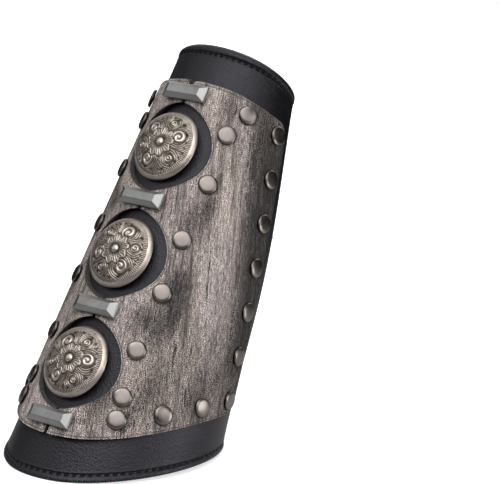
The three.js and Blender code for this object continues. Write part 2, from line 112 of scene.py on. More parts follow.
def full_turn(sides):
    return np.linspace(0, 2 * math.pi, sides, endpoint=False)


def rounded(distance, radius):
    """The height of a quarter circle, from 0 at the edge to 1 a radius away from it."""
    near = np.clip(distance / radius, 0, 1)
    return np.sqrt(1 - (1 - near) ** 2)


def run_length(points):
    """Length along a line of points, from the first."""
    return np.concatenate([[0], np.cumsum(np.linalg.norm(np.diff(points, axis=0), axis=1))])


def toward(turn, rise):
    """The way to what stands at a turn from the front and a rise, both in degrees."""
    turn, rise = math.radians(turn), math.radians(rise)
    return Vector((math.sin(turn) * math.cos(rise), -math.cos(turn) * math.cos(rise), math.sin(rise)))


# Points on the leather, in millimetres. phi is the angle from the front line.
def bulge(z):
    """How far the sides swell between the rims, from 0 to 1, and its slope."""
    run = np.where(z < BULGE_PEAK, BULGE_PEAK, SECTION_HEIGHT - BULGE_PEAK)
    turn = math.pi / 2 * np.clip((z - BULGE_PEAK) / run, -1, 1)
    return np.cos(turn) ** 2, -math.pi / 2 / run * np.sin(2 * turn)


def section(z):
    share = z / SECTION_HEIGHT
    swell, _ = bulge(z)
    return (
        mix(ELBOW_WIDTH, WRIST_WIDTH, share) / 2 + BULGE_WIDTH * swell,
        mix(ELBOW_DEPTH, WRIST_DEPTH, share) / 2 + BULGE_DEPTH * swell,
        mix(ELBOW_SET, WRIST_SET, share) + BULGE_DEPTH * swell + SET_FORWARD,
    )


def outward(phi, z):
    width, depth, _ = section(z)
    _, steepness = bulge(z)
    widening = (WRIST_WIDTH - ELBOW_WIDTH) / 2 / SECTION_HEIGHT + BULGE_WIDTH * steepness
    deepening = (WRIST_DEPTH - ELBOW_DEPTH) / 2 / SECTION_HEIGHT + BULGE_DEPTH * steepness
    setting = (WRIST_SET - ELBOW_SET) / SECTION_HEIGHT + BULGE_DEPTH * steepness
    around = stack(width * np.cos(phi), depth * np.sin(phi), 0.0)
    along = stack(widening * np.sin(phi), setting - deepening * np.cos(phi), 1.0)
    normal = np.cross(around, along)
    return normal / np.linalg.norm(normal, axis=-1, keepdims=True)


def on_sleeve(phi, z):
    width, depth, centre = section(z)
    return stack(width * np.sin(phi), centre - depth * np.cos(phi), z)


def above(phi, z, off):
    """Off the sleeve, square to the leather."""
    phi, z, off = np.broadcast_arrays(np.float64(phi), np.float64(z), np.float64(off))
    return on_sleeve(phi, z) + outward(phi, z) * off[..., None]


def level(phi, z, off):
    """Off the sleeve by the same thickness but at the same height."""
    phi, z, off = np.broadcast_arrays(np.float64(phi), np.float64(z), np.float64(off))
    out = outward(phi, z)
    out[..., 2] = 0
    run = (out ** 2).sum(-1)
    return on_sleeve(phi, z) + out * (off / run)[..., None]


def angle_at(girth, z):
    """The angle that lies a given girth away from the front line."""
    width, depth, _ = section(z)
    steps = 48
    phi = 0.0 * girth + 0.0 * z
    for _ in range(steps):
        guess = phi + girth / steps / 2 / np.hypot(width * np.cos(phi), depth * np.sin(phi))
        phi = phi + girth / steps / np.hypot(width * np.cos(guess), depth * np.sin(guess))
    return phi


def settle(value, step, times=6):
    for _ in range(times):
        value = step(value)
    return value


def wrist_rim(phi):
    return WRIST_RIM_HEIGHT + WRIST_RIM_SLANT * np.cos(phi) - WRIST_RIM_DIP * np.cos(2 * phi)


def elbow_rim(phi):
    flat_share = 0.1
    return ELBOW_RIM_ARCH * np.maximum(0.0, (np.sin(phi) ** 2 - flat_share) / (1 - flat_share))


def panel_foot(phi):
    return elbow_rim(phi) + PANEL_FOOT + PANEL_FOOT_LIFT * np.sin(phi) ** 4


def panel_head(phi):
    return wrist_rim(phi) - PANEL_HEAD - PANEL_HEAD_DROP * np.sin(phi) ** 4


def rise_at(phi):
    """The height gained for each millimetre along the leather."""
    line = on_sleeve(phi, SECTION_HEIGHT) - on_sleeve(phi, 0.0)
    return line[2] / np.linalg.norm(line)


LEAN = (WRIST_SET - ELBOW_SET) / SECTION_HEIGHT
FRONT_RISE, BACK_RISE = rise_at(0), rise_at(math.pi)
SIDE_ANGLE = 1.57
PANEL_SIDE_HEIGHT = panel_head(SIDE_ANGLE) - panel_foot(SIDE_ANGLE)
low_bar = panel_foot(0.0) + BAR_SET_ELBOW * FRONT_RISE
high_bar = panel_head(0.0) - BAR_SET_WRIST * FRONT_RISE
BAR_HEIGHTS = [mix(low_bar, high_bar, i / 3) for i in (3, 2, 1, 0)]
DISC_HEIGHTS = [mix(low_bar, high_bar, i / 3) for i in (2.5, 1.5, 0.5)]


def square_to(front_height, girth):
    """Where a point lies that is some girth away from the front line, square to the arm's axis."""
    def place(z):
        phi = angle_at(np.abs(girth), z)
        return front_height - LEAN * section(z)[1] * (1 - np.cos(phi))

    z = settle(front_height + 0.0 * girth, place)
    return np.sign(girth) * angle_at(np.abs(girth), z), z


def back_angle(x, z):
    return math.pi - np.arcsin(x / section(z)[0])


def behind(x, z, off):
    return above(back_angle(x, z), z, off)


def front_frame(z, off):
    """Frame on the front line, in metres: x across, y up along the line, z outward."""
    out = Vector(outward(0.0, z))
    across = Vector((1, 0, 0))
    place = Matrix((across, out.cross(across), out)).transposed().to_4x4()
    place.translation = Vector(above(0.0, z, off)) * MM
    return place


# Mesh helpers
def add_object(name, data):
    made = bpy.data.objects.new(name, data)
    bpy.context.scene.collection.objects.link(made)
    return made


def mesh_piece(name, points, faces, materials, smooth=True):
    """A piece from points in millimetres."""
    mesh = bpy.data.meshes.new(name)
    mesh.from_pydata((np.asarray(points, float) * MM).tolist(), [], faces)
    for material in materials:
        mesh.materials.append(material)
    mesh.polygons.foreach_set("use_smooth", [smooth] * len(mesh.polygons))
    mesh.update()
    return add_object(name, mesh)


def grid_faces(columns, rows, start=0, closed=False, flip=False):
    """Quads of a grid whose points run along its columns first."""
    i, j = np.meshgrid(np.arange(columns if closed else columns - 1), np.arange(rows - 1))
    right = (i + 1) % columns
    a, b = j * columns + i, j * columns + right
    c, d = (j + 1) * columns + right, (j + 1) * columns + i
    quads = np.stack([a, d, c, b] if flip else [a, b, c, d], -1).reshape(-1, 4) + start
    return quads.tolist()


def shell(outer, inner):
    """Points and faces of two grids that lie back to back."""
    rows, columns = outer.shape[:2]
    points = np.concatenate([outer.reshape(-1, 3), inner.reshape(-1, 3)])
    return points, grid_faces(columns, rows) + grid_faces(columns, rows, rows * columns, flip=True)


def set_uv(piece, name, values):
    """A UV map from one pair of numbers for each vertex."""
    mesh = piece.data
    layer = mesh.uv_layers.new(name=name)
    corners = np.zeros(len(mesh.loops), int)
    mesh.loops.foreach_get("vertex_index", corners)
    layer.data.foreach_set("uv", np.asarray(values, float)[corners].reshape(-1))


def set_attribute(piece, name, values):
    layer = piece.data.attributes.new(name, "FLOAT", "POINT")
    layer.data.foreach_set("value", np.asarray(values, float).reshape(-1))


def apply_modifiers(piece):
    """The evaluated mesh takes the place of the piece's own, and the modifiers go."""
    graph = bpy.context.evaluated_depsgraph_get()
    graph.update()
    mesh = bpy.data.meshes.new_from_object(piece.evaluated_get(graph))
    piece.modifiers.clear()
    piece.data = mesh
    return piece


def bevel(piece, width, segments=2, angle=40):
    modifier = piece.modifiers.new("edges", "BEVEL")
    modifier.width = width * MM
    modifier.segments = segments
    modifier.limit_method = "ANGLE"
    modifier.angle_limit = math.radians(angle)
    modifier.harden_normals = False


def stand_for(piece, slot, *nodes):
    """The piece takes the place of its nodes and rides on the one body. The slot is not used."""
    if nodes:
        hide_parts(*nodes)
    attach(piece, "root")


# Materials
class Finish:
    """A material and the nodes that feed its Principled shader. Plain values are set on the
    shader's own sockets."""

    def __init__(self, name, **values):
        self.material = bpy.data.materials.new(name)
        self.material.use_nodes = True
        self.nodes = self.material.node_tree.nodes
        self.links = self.material.node_tree.links
        self.shader = self.nodes["Principled BSDF"]
        self.fill(self.shader, values)

    def fill(self, node, values):
        for socket, value in values.items():
            node.inputs[socket.replace("_", " ")].default_value = value

    def put(self, value, socket):
        """Links another node's output to a socket, or sets a plain value on it."""
        if hasattr(value, "is_output"):
            self.links.new(value, socket)
        else:
            socket.default_value = value

    def object_place(self):
        return self.nodes.new("ShaderNodeTexCoord").outputs["Object"]

    def uv_place(self, name):
        made = self.nodes.new("ShaderNodeUVMap")
        made.uv_map = name
        return made.outputs["UV"]

    def attribute(self, name):
        made = self.nodes.new("ShaderNodeAttribute")
        made.attribute_name = name
        return made.outputs["Fac"]

    def mapping(self, vector, scale=(1, 1, 1), place=(0, 0, 0), turn=(0, 0, 0)):
        made = self.nodes.new("ShaderNodeMapping")
        self.fill(made, {"Scale": scale, "Location": place, "Rotation": turn})
        self.links.new(vector, made.inputs["Vector"])
        return made.outputs["Vector"]

    def texture(self, kind, output, vector, **values):
        made = self.nodes.new(f"ShaderNodeTex{kind}")
        self.fill(made, values)
        self.links.new(vector, made.inputs["Vector"])
        return made.outputs[output]

    def noise(self, vector, scale, detail, harshness=0.5):
        return self.texture("Noise", "Fac", vector, Scale=scale, Detail=detail, Roughness=harshness)

    def ramp(self, value, *stops):
        """A colour ramp. Each stop is a place and a colour, or a place and a grey."""
        made = self.nodes.new("ShaderNodeValToRGB")
        elements = made.color_ramp.elements
        while len(elements) < len(stops):
            elements.new(0.5)
        for element, (place, colour) in zip(elements, stops):
            element.position = place
            element.color = (*colour, 1) if isinstance(colour, tuple) else (colour, colour, colour, 1)
        self.links.new(value, made.inputs["Fac"])
        return made.outputs["Color"]

    def math(self, kind, *values):
        made = self.nodes.new("ShaderNodeMath")
        made.operation = kind
        for socket, value in zip(made.inputs, values):
            self.put(value, socket)
        return made.outputs[0]

    def blend(self, share, a, b, kind="MIX"):
        made = self.nodes.new("ShaderNodeMix")
        made.data_type = "RGBA"
        made.blend_type = kind
        for number, value in ((0, share), (6, a), (7, b)):
            self.put((*value, 1) if isinstance(value, tuple) else value, made.inputs[number])
        return made.outputs[2]

    def bump(self, height, distance, strength):
        """Adds fine relief, its distance in millimetres, on top of what is there."""
        made = self.nodes.new("ShaderNodeBump")
        self.fill(made, {"Strength": strength, "Distance": distance * MM})
        self.links.new(height, made.inputs["Height"])
        normal = self.shader.inputs["Normal"]
        if normal.links:
            self.links.new(normal.links[0].from_socket, made.inputs["Normal"])
        self.links.new(made.outputs["Normal"], normal)

    def colour(self, value):
        self.links.new(value, self.shader.inputs["Base Color"])

    def roughness(self, value):
        self.links.new(value, self.shader.inputs["Roughness"])


def black_leather():
    """Smooth black leather: fine pebble grain, faint creases and an uneven soft gloss."""
    leather = Finish("black leather", Specular_IOR_Level=0.45, Specular_Tint=(0.93, 0.92, 1.0, 1))
    place = leather.object_place()
    cloud = leather.noise(place, 45.0, 3.0)
    leather.colour(leather.ramp(cloud, (0.3, (0.0034, 0.0032, 0.0052)), (0.75, (0.0068, 0.0064, 0.0098))))
    leather.roughness(leather.ramp(cloud, (0.3, 0.36), (0.7, 0.45)))
    pebble = leather.texture("Voronoi", "Distance", place, Scale=950.0, Randomness=1.0)
    leather.bump(leather.math("ADD", pebble, leather.noise(place, 1700.0, 2.0)), 0.16, 1.0)
    crease = leather.noise(leather.mapping(place, (1, 1, 0.6)), 80.0, 4.0, 0.6)
    leather.bump(crease, 0.5, 0.4)
    return leather.material


def grey_leather():
    """Distressed grey leather: salt and pepper grain, fine streaks along the arm, and dark smears made of
    streaks, which gather where the smear attribute is high; on the panels' sides this darkening is painted
    shade as well as dirt."""
    hide = Finish("grey leather", Roughness=0.74, Specular_IOR_Level=0.3)
    place = hide.mapping(hide.uv_place("hide"), turn=(0, 0, HIDE_LEAN))
    smear_and_shade = hide.attribute("smear_and_shade")

    def noise(scale, stretch, detail, shift=0.0, harshness=0.55):
        along = hide.mapping(place, (1.0, stretch, 1.0), (shift, shift * 0.7, 0))
        return hide.math("SUBTRACT", hide.noise(along, scale, detail, harshness), 0.5)

    def total(*parts, start=0.0):
        whole = start
        for weight, part in parts:
            whole = hide.math("MULTIPLY_ADD", part, weight, whole)
        return whole

    speckle = noise(2700.0, 0.8, 1.0)
    fibre = noise(2300.0, 0.12, 1.0, 0.05)
    hair = noise(1050.0, 0.06, 2.0, 0.11)
    streak = noise(330.0, 0.045, 3.0, 0.17, 0.6)
    patch = noise(75.0, 0.16, 2.0, 0.37)
    warmth = noise(60.0, 0.2, 1.0, 0.71)
    tone = total((0.8, streak), (0.6, hair), (0.6, patch), (-0.16, smear_and_shade), start=0.52)
    base = hide.ramp(tone, (0.33, (0.120, 0.104, 0.098)), (0.43, (0.258, 0.226, 0.209)),
                     (0.52, (0.404, 0.353, 0.333)), (0.64, (0.590, 0.527, 0.503)))
    grain = total((0.95, speckle), (0.42, fibre))
    # dark smears and streaks, with painted shade where the smears lie on the panels' sides
    dirt_and_shade = total((0.66, smear_and_shade), (2.1, streak), (2.2, hair), (0.7, patch), (-1.5, grain))
    blot_and_shade = hide.ramp(dirt_and_shade, (0.12, 0.0), (0.62, 0.95))
    line = hide.math("MULTIPLY", hide.attribute("border"), hide.math("MULTIPLY_ADD", fibre, 1.2, 0.62))
    smeared_and_shaded = hide.blend(hide.math("MAXIMUM", blot_and_shade, line), base, (0.038, 0.034, 0.033))
    tint = hide.ramp(hide.math("ADD", warmth, 0.5), (0.36, (1.02, 0.99, 0.955)), (0.62, (1.0, 0.97, 0.99)))
    salt = hide.ramp(hide.math("ADD", grain, 0.5), (0.34, 0.12), (0.5, 0.86), (0.66, 2.5))
    tinted = hide.blend(1.0, smeared_and_shaded, tint, "MULTIPLY")
    hide.colour(hide.blend(1.0, tinted, salt, "MULTIPLY"))
    hide.bump(grain, 0.22, 0.6)
    hide.bump(streak, 0.25, 0.35)
    return hide.material


def speckled(name, scale, detail, harshness, stops, relief=None, **values):
    """A finish whose colour runs through a few stops of one noise, and maybe its relief too."""
    finish = Finish(name, **values)
    pattern = finish.noise(finish.object_place(), scale, detail, harshness)
    finish.colour(finish.ramp(pattern, *stops))
    if relief:
        finish.bump(pattern, *relief)
    return finish.material


def cast_silver():
    """Antique silver casting: bright worn crests, and dark warm recesses from the relief's depth, part
    patina and part painted shade.
    """
    silver = Finish("cast silver", Metallic=1.0)
    place = silver.object_place()
    stain = silver.math("MULTIPLY_ADD", silver.noise(place, 260.0, 4.0, 0.6), 0.5, -0.25)
    wear_and_shade = silver.math("ADD", silver.attribute("relief"), stain)
    # the dark end of the ramp is patina in the recesses and painted shade
    silver.colour(silver.ramp(wear_and_shade, (0.10, (0.030, 0.025, 0.022)), (0.34, (0.205, 0.172, 0.148)),
                              (0.62, (0.470, 0.412, 0.362)), (0.92, (0.630, 0.574, 0.517))))
    silver.roughness(silver.ramp(wear_and_shade, (0.2, 0.62), (0.85, 0.35)))
    silver.bump(silver.noise(place, 2200.0, 2.0), 0.03, 0.4)
    return silver.material


def satin_metal(name, dark, light, roughness, brushed):
    """Grey metal with a faint brushed or cloudy finish, blackened where its attribute of painted shade
    round the rivets' rims is high.
    """
    metal = Finish(name, Metallic=1.0)
    place = metal.object_place()
    cloud = metal.noise(place, 170.0, 4.0)
    clean = metal.ramp(cloud, (0.3, dark), (0.7, light))
    # painted shade: the rivets' rims are blended towards this near-black to stand for the shadow round them
    metal.colour(metal.blend(metal.attribute("painted_rim_shade"), clean, (0.012, 0.010, 0.009)))
    metal.roughness(metal.ramp(cloud, (0.3, roughness * 0.85), (0.75, roughness * 1.25)))
    metal.bump(metal.noise(metal.mapping(place, brushed), 1500.0, 2.0), 0.02, 0.35)
    return metal.material


def braided_cord():
    """Waxed black cord: diagonal plaits round it, on its own UV map."""
    cord = Finish("braided cord", Roughness=0.5, Sheen_Weight=0.15)
    place = cord.uv_place("cord")
    plait = cord.math("MAXIMUM", *(
        cord.texture("Wave", "Fac", cord.mapping(place, turn=(0, 0, turn)), Scale=220.0, Distortion=0.0)
        for turn in (0.9, -0.9)))
    cord.colour(cord.ramp(plait, (0.2, (0.004, 0.004, 0.0045)), (0.9, (0.016, 0.016, 0.017))))
    cord.bump(plait, 0.14, 0.7)
    return cord.material


BLACK_LEATHER = black_leather()
GREY_LEATHER = grey_leather()
# the raw cut edge of the grey panels, darkened with painted shade of their walls, and the bevel beside it
# where their paint is rubbed off
SHADED_CUT_EDGE = speckled(
    "shaded cut edge", 1200.0, 3.0, 0.5, ((0.35, (0.018, 0.016, 0.015)), (0.68, (0.085, 0.077, 0.07))),
    relief=(0.12, 0.5), Roughness=0.8)
RUBBED_EDGE = speckled(
    "rubbed edge", 420.0, 4.0, 0.65,
    ((0.34, (0.10, 0.09, 0.083)), (0.47, (0.44, 0.405, 0.38)), (0.6, (0.72, 0.68, 0.65))),
    relief=(0.1, 0.5), Roughness=0.7)
CAST_SILVER = cast_silver()
BAR_METAL = satin_metal("bar metal", (0.285, 0.283, 0.281), (0.385, 0.383, 0.381), 0.42, (0.12, 1, 1))
RIVET_METAL = satin_metal("rivet metal", (0.178, 0.156, 0.142), (0.262, 0.230, 0.211), 0.31, (1, 1, 1))
BLACK_LACQUER = speckled(
    "black lacquer", 500.0, 3.0, 0.5, ((0.45, (0.008, 0.008, 0.009)), (0.8, (0.045, 0.044, 0.043))),
    Metallic=0.3, Roughness=0.3)
CORD = braided_cord()
THREAD = speckled(
    "black thread", 3000.0, 1.0, 0.5, ((0.4, (0.003, 0.003, 0.0035)), (0.7, (0.012, 0.012, 0.013))),
    Roughness=0.65, Specular_IOR_Level=0.3)


# Camera, at the photograph's angle
CAMERA_TURN, CAMERA_RISE, CAMERA_ROLL = 38.30, 12.31, 2.47
CAMERA_DISTANCE = 1224.98
CAMERA_FOCUS = 2457.1
FRAME_WIDTH = 500.0
TARGET_SIDE, TARGET_HEIGHT = 64.2, 111.5


def make_camera():
    back = toward(CAMERA_TURN, CAMERA_RISE)
    side = toward(CAMERA_TURN + 90, 0)
    roll = math.radians(CAMERA_ROLL)
    up = back.cross(side)
    right = side * math.cos(roll) + up * math.sin(roll)
    upright = up * math.cos(roll) - side * math.sin(roll)
    target = side * TARGET_SIDE + Vector((0, SET_FORWARD, TARGET_HEIGHT))
    data = bpy.data.cameras.new("camera")
    data.sensor_width = 36
    data.lens = CAMERA_FOCUS * data.sensor_width / FRAME_WIDTH
    data.clip_start, data.clip_end = 0.05, 20
    camera = add_object("camera", data)
    place = Matrix((right, upright, back)).transposed().to_4x4()
    place.translation = (target + back * CAMERA_DISTANCE) * MM
    camera.matrix_world = place
    bpy.context.scene.camera = camera


make_camera()


# Rivets: two beside each opening, a row along the foot, the back edge and the head
BESIDE_OPENINGS = ((0, 27), (0, -24), (1, 29), (1, -25), (2, 28), (2, -17))


def rivet_places():
    places = []
    ring = OPENING_RADIUS + RIVET_MARGIN
    for disc, turn in BESIDE_OPENINGS:
        height = DISC_HEIGHTS[disc] + ring * math.sin(math.radians(turn)) * FRONT_RISE
        places.append(square_to(height, ring * math.cos(math.radians(turn))))

    def foot_row(girth):
        z = settle(PANEL_FOOT, lambda height: panel_foot(angle_at(girth, height)) + RIVET_MARGIN)
        return angle_at(girth, z), z

    def head_row(girth):
        z = settle(WRIST_RIM_HEIGHT, lambda height: panel_head(angle_at(girth, height)) - RIVET_MARGIN)
        return angle_at(girth, z), z

    foot_end = PANEL_REACH_ELBOW - RIVET_INSET_ELBOW
    head_end = PANEL_REACH_WRIST - RIVET_INSET_WRIST
    count = max(2, round((foot_end - RIVET_ROW_START) / RIVET_PITCH) + 1)
    places += [foot_row(mix(RIVET_ROW_START, foot_end, i / (count - 1))) for i in range(count)]
    low, high = foot_row(foot_end)[1], head_row(head_end)[1]
    count = round((high - low) / RIVET_PITCH)
    for i in range(1, count + 1):
        z = mix(low, high, i / count)
        places.append((angle_at(mix(foot_end, head_end, i / count), z), z))
    places.append(head_row(head_end - RIVET_PITCH))
    return [(float(phi), float(z)) for phi, z in places]


RIVETS = rivet_places()
EYELET_X = LACING_GAP / 2 + EYELET_INSET
EYELET_HEIGHTS = [
    float(mix(EYELET_END * BACK_RISE, wrist_rim(math.pi) - EYELET_END * BACK_RISE, i / (EYELETS - 1)))
    for i in range(EYELETS)
]


# Sleeve: a sheet with rounded edges and a puffed hem above each line of stitches
def hem_shape(distance, stitch):
    """How far the hem stands proud at a distance from the rim. Each stitch pulls the leather in
    and leaves a small lip below it."""
    pull = (0.5 - 0.5 * np.cos(2 * math.pi * stitch)) ** 1.3
    puff = np.sin(math.pi * np.clip((distance + 0.4) / (HEM + 0.3), 0, 1))
    groove = np.exp(-np.abs((distance - HEM) / 0.72) ** 3)
    lip = np.exp(-((distance - HEM - 1.0) / 0.34) ** 2)
    return HEM_PUFF * puff - (HEM_GROOVE + HEM_PULL * pull) * groove + HEM_LIP * (0.4 + 0.6 * pull) * lip


def rim_run(rim, phi):
    """Length along a rim from the front line, for angles of either sign."""
    turns = np.linspace(-math.pi, math.pi, 2001)
    run = run_length(level(turns, rim(turns), 0.0))
    return np.interp(phi, turns, run - run[len(run) // 2])


def make_sleeve():
    radius = SLEEVE_WALL / 2
    near_rim = np.concatenate([
        [0, 0.12, 0.42, 0.8, 1.2, 1.7, 2.2], np.linspace(2.6, 5.2, 14), [5.8],
    ])
    middle = np.linspace(near_rim[-1], POINT_SPAN - near_rim[-1], 26)[1:-1]
    shares = np.concatenate([near_rim, middle, POINT_SPAN - near_rim[::-1]]) / POINT_SPAN
    near_side = np.array([0, 0.12, 0.42, 0.8, 1.2, 2.0, 3.5])
    far_side = np.linspace(near_side[-1], POINT_HALF_GIRTH, 220)[1:]
    from_edge = np.concatenate([near_side, far_side]) / POINT_HALF_GIRTH
    turns = np.concatenate([from_edge - 1, (1 - from_edge[::-1])[1:]])
    share, turn = np.meshgrid(shares, turns, indexing="ij")

    def place(phi):
        z = mix(elbow_rim(phi), wrist_rim(phi), share)
        return turn * back_angle(LACING_GAP / 2, z)

    phi = settle(turn * math.pi, place)
    z = mix(elbow_rim(phi), wrist_rim(phi), share)
    height = wrist_rim(phi) - elbow_rim(phi)
    from_rim = np.minimum(share, 1 - share) * height
    from_side = (1 - np.abs(turn)) * POINT_HALF_GIRTH
    stitch = np.where(share < 0.5, rim_run(elbow_rim, phi) / STITCH_PITCHES[0],
                      rim_run(wrist_rim, phi) / STITCH_PITCHES[1])
    half = radius * rounded(from_rim, radius) * rounded(from_side, radius)
    puff = hem_shape(from_rim, stitch) * half / radius
    outer = level(phi, z, half - radius + puff)
    inner = level(phi, z, -half - radius)
    piece = mesh_piece("sleeve", *shell(outer, inner), [BLACK_LEATHER])
    merge = piece.modifiers.new("merge", "WELD")
    merge.merge_threshold = 0.002 * MM
    apply_modifiers(piece)
    return piece


def drill_eyelets(piece):
    """Cuts the sleeve's lacing holes."""
    drills = []
    for side in (1, -1):
        for z in EYELET_HEIGHTS:
            phi = back_angle(side * EYELET_X, z)
            radius = (EYELET_BARREL / 2 + CLEARANCE) * MM
            bpy.ops.mesh.primitive_cylinder_add(vertices=32, radius=radius, depth=16 * MM)
            drill = bpy.context.object
            turn = Vector((0, 0, 1)).rotation_difference(Vector(outward(phi, z))).to_matrix().to_4x4()
            drill.data.transform(Matrix.Translation(Vector(above(phi, z, 0.0)) * MM) @ turn)
            drills.append(drill)
    bpy.ops.object.select_all(action="DESELECT")
    for drill in drills:
        drill.select_set(True)
    bpy.context.view_layer.objects.active = drills[0]
    bpy.ops.object.join()
    cut = piece.modifiers.new("holes", "BOOLEAN")
    cut.operation = "DIFFERENCE"
    cut.solver = "EXACT"
    cut.object = drills[0]
    apply_modifiers(piece)
    bpy.data.objects.remove(drills[0])


sleeve = make_sleeve()
drill_eyelets(sleeve)
stand_for(sleeve, "black_leather", "base_sleeve")


# Panels
def opening_half(front_height):
    """Half width of the opening at a height on the front line, 0 between openings."""
    half = 0.0 * front_height
    for middle in DISC_HEIGHTS:
        run = (front_height - middle) / FRONT_RISE
        for direction, (tip, power) in OPENING_ENDS.items():
            share = direction * run / tip
            inside = (share >= 0) & (share < 1)
            width = OPENING_RADIUS * np.clip(1 - share ** 2, 0, 1) ** power
            half = np.where(inside, width, half)
    return half


# The panels' edges have a dark creased line inside a rubbed rim
BORDER_STEPS = np.array([0, 0.42, 0.56, 0.98, 1.15, 2.2, 3.6])
BORDER_TONE = np.array([0, 0, 1, 1, 0, 0, 0])


def panel_rows():
    """Shares of the panel's height, with extra rows at the openings' tips and the corners."""
    length = panel_head(0.0) - panel_foot(0.0)
    shares = set(np.linspace(0, 1, PANEL_ROWS).round(5))
    for step in (0, 12, 25, 38, 52, 68, 90):
        corner = PANEL_CORNER * (1 - math.cos(math.radians(step))) / PANEL_SIDE_HEIGHT
        shares |= {round(corner, 5), round(1 - corner, 5)}
    for middle in DISC_HEIGHTS:
        for direction, (reach, _) in OPENING_ENDS.items():
            tip = middle + direction * reach * FRONT_RISE
            for step in (0.0, 0.12, 0.3, 0.55, 0.9, 1.4, 2.0):
                shares.add(round(float((tip - direction * step - panel_foot(0.0)) / length), 5))
    for step in BORDER_STEPS:
        shares |= {round(float(step / length), 5), round(float(1 - step / length), 5)}
    return np.array(sorted(shares))


def make_panel():
    shares = panel_rows()
    from_end = np.minimum(shares, 1 - shares) * PANEL_SIDE_HEIGHT
    inset = PANEL_CORNER * (1 - rounded(from_end, PANEL_CORNER))
    reach = mix(PANEL_REACH_ELBOW, PANEL_REACH_WRIST, shares) - inset

    def row_height(phi, share):
        return mix(panel_foot(phi), panel_head(phi), share)

    def angles(girth, share):
        return settle(girth / GUESS_RADIUS, lambda phi: angle_at(girth, row_height(phi, share)), 8)

    low, high = np.full_like(shares, PANEL_SEAM / 2), np.full_like(shares, OPENING_RADIUS * 1.2)
    # halved until the opening's edge is found
    for _ in range(26):
        girth = (low + high) / 2
        phi = angles(girth, shares)
        z = row_height(phi, shares)
        front = z + LEAN * section(z)[1] * (1 - np.cos(phi))
        wider = opening_half(front) > girth
        low, high = np.where(wider, girth, low), np.where(wider, high, girth)
    edge = np.where(low < PANEL_SEAM / 2 + 1e-3, PANEL_SEAM / 2, low)
    edge = edge + SEAM_CORNER * (1 - rounded(from_end, SEAM_CORNER)) * (shares > 0.5)
    across = np.linspace(0, 1, PANEL_COLUMNS)[1:-1]
    wide = reach - edge - 2 * BORDER_STEPS[-1]
    girth = np.concatenate([
        edge[:, None] + BORDER_STEPS[None, :],
        (edge + BORDER_STEPS[-1])[:, None] + wide[:, None] * across[None, :],
        reach[:, None] - BORDER_STEPS[None, ::-1],
    ], 1)
    inside = np.minimum(np.minimum(girth - edge[:, None], reach[:, None] - girth), from_end[:, None])
    border = np.interp(inside, BORDER_STEPS, BORDER_TONE).reshape(-1)
    share = shares[:, None] + 0.0 * girth
    phi = angles(girth, share)
    z = row_height(phi, share)
    points, faces = shell(level(phi, z, CLEARANCE + PANEL_WALL), level(phi, z, CLEARANCE))
    rows, count = girth.shape
    size = rows * count
    edges_from = len(faces)
    for j in range(rows - 1):
        a, b = j * count, (j + 1) * count
        faces.append([a, b, size + b, size + a])
        a, b = a + count - 1, b + count - 1
        faces.append([a, size + a, size + b, b])
    for i in range(count - 1):
        faces.append([i, size + i, size + i + 1, i + 1])
        a = (rows - 1) * count + i
        faces.append([a, a + 1, size + a + 1, size + a])
    hide = stack(phi * HIDE_TURN * MM, z * HIDE_RISE * MM).reshape(-1, 2)
    return points, faces, edges_from, np.concatenate([hide, hide]), np.concatenate([border, border])


# Dark smears, and painted shade on the panels' far sides: angle from the front, height, reach across in
# degrees, reach along, strength
SMEARS_AND_SHADE = (
    (74, 160, 12, 22, 0.9), (84, 130, 12, 24, 0.9), (92, 98, 11, 28, 0.8), (98, 62, 9, 24, 0.6),
    (104, 150, 14, 40, 0.9), (108, 100, 12, 40, 0.8), (108, 55, 9, 26, 0.6), (60, 176, 8, 8, 0.5),
    (44, 90, 8, 8, 1.0), (47, 76, 6, 10, 0.85), (30, 76, 7, 7, 0.8), (38, 68, 6, 8, 0.5),
    (47, 126, 6, 16, 0.75), (37, 121, 5, 10, 0.55), (37, 177, 3, 9, 0.5), (44, 172, 3, 10, 0.5),
    (48, 44, 9, 12, 0.5), (60, 108, 4, 22, 0.3), (22, 40, 7, 12, 0.8), (72, 40, 6, 14, 0.5),
    (40, 30, 5, 8, 0.5), (62, 60, 5, 16, 0.35), (86, 44, 6, 12, 0.4),
)
# Pale zones, taken away from the smears and painted shade
PALE_ZONES = ((60, 130, 9, 26, 0.5), (66, 95, 9, 26, 0.5), (42, 148, 8, 12, 0.35), (52, 165, 6, 12, 0.25))


def smear_and_shade_at(hide, side):
    """How dark the smears and painted shade are at points of the hide. They lie the other way up on the
    left panel.
    """
    phi = np.degrees(hide[:, 0] / HIDE_TURN / MM)
    z = hide[:, 1] / HIDE_RISE / MM
    if side < 0:
        z = SECTION_HEIGHT - z
    dark = np.zeros(len(phi))
    for places, way in ((SMEARS_AND_SHADE, 1), (PALE_ZONES, -1)):
        for turn, height, across, along, strength in places:
            dark += way * strength * np.exp(-((phi - turn) / across) ** 2 - ((z - height) / along) ** 2)
    return np.clip(dark, -0.6, 1.1)


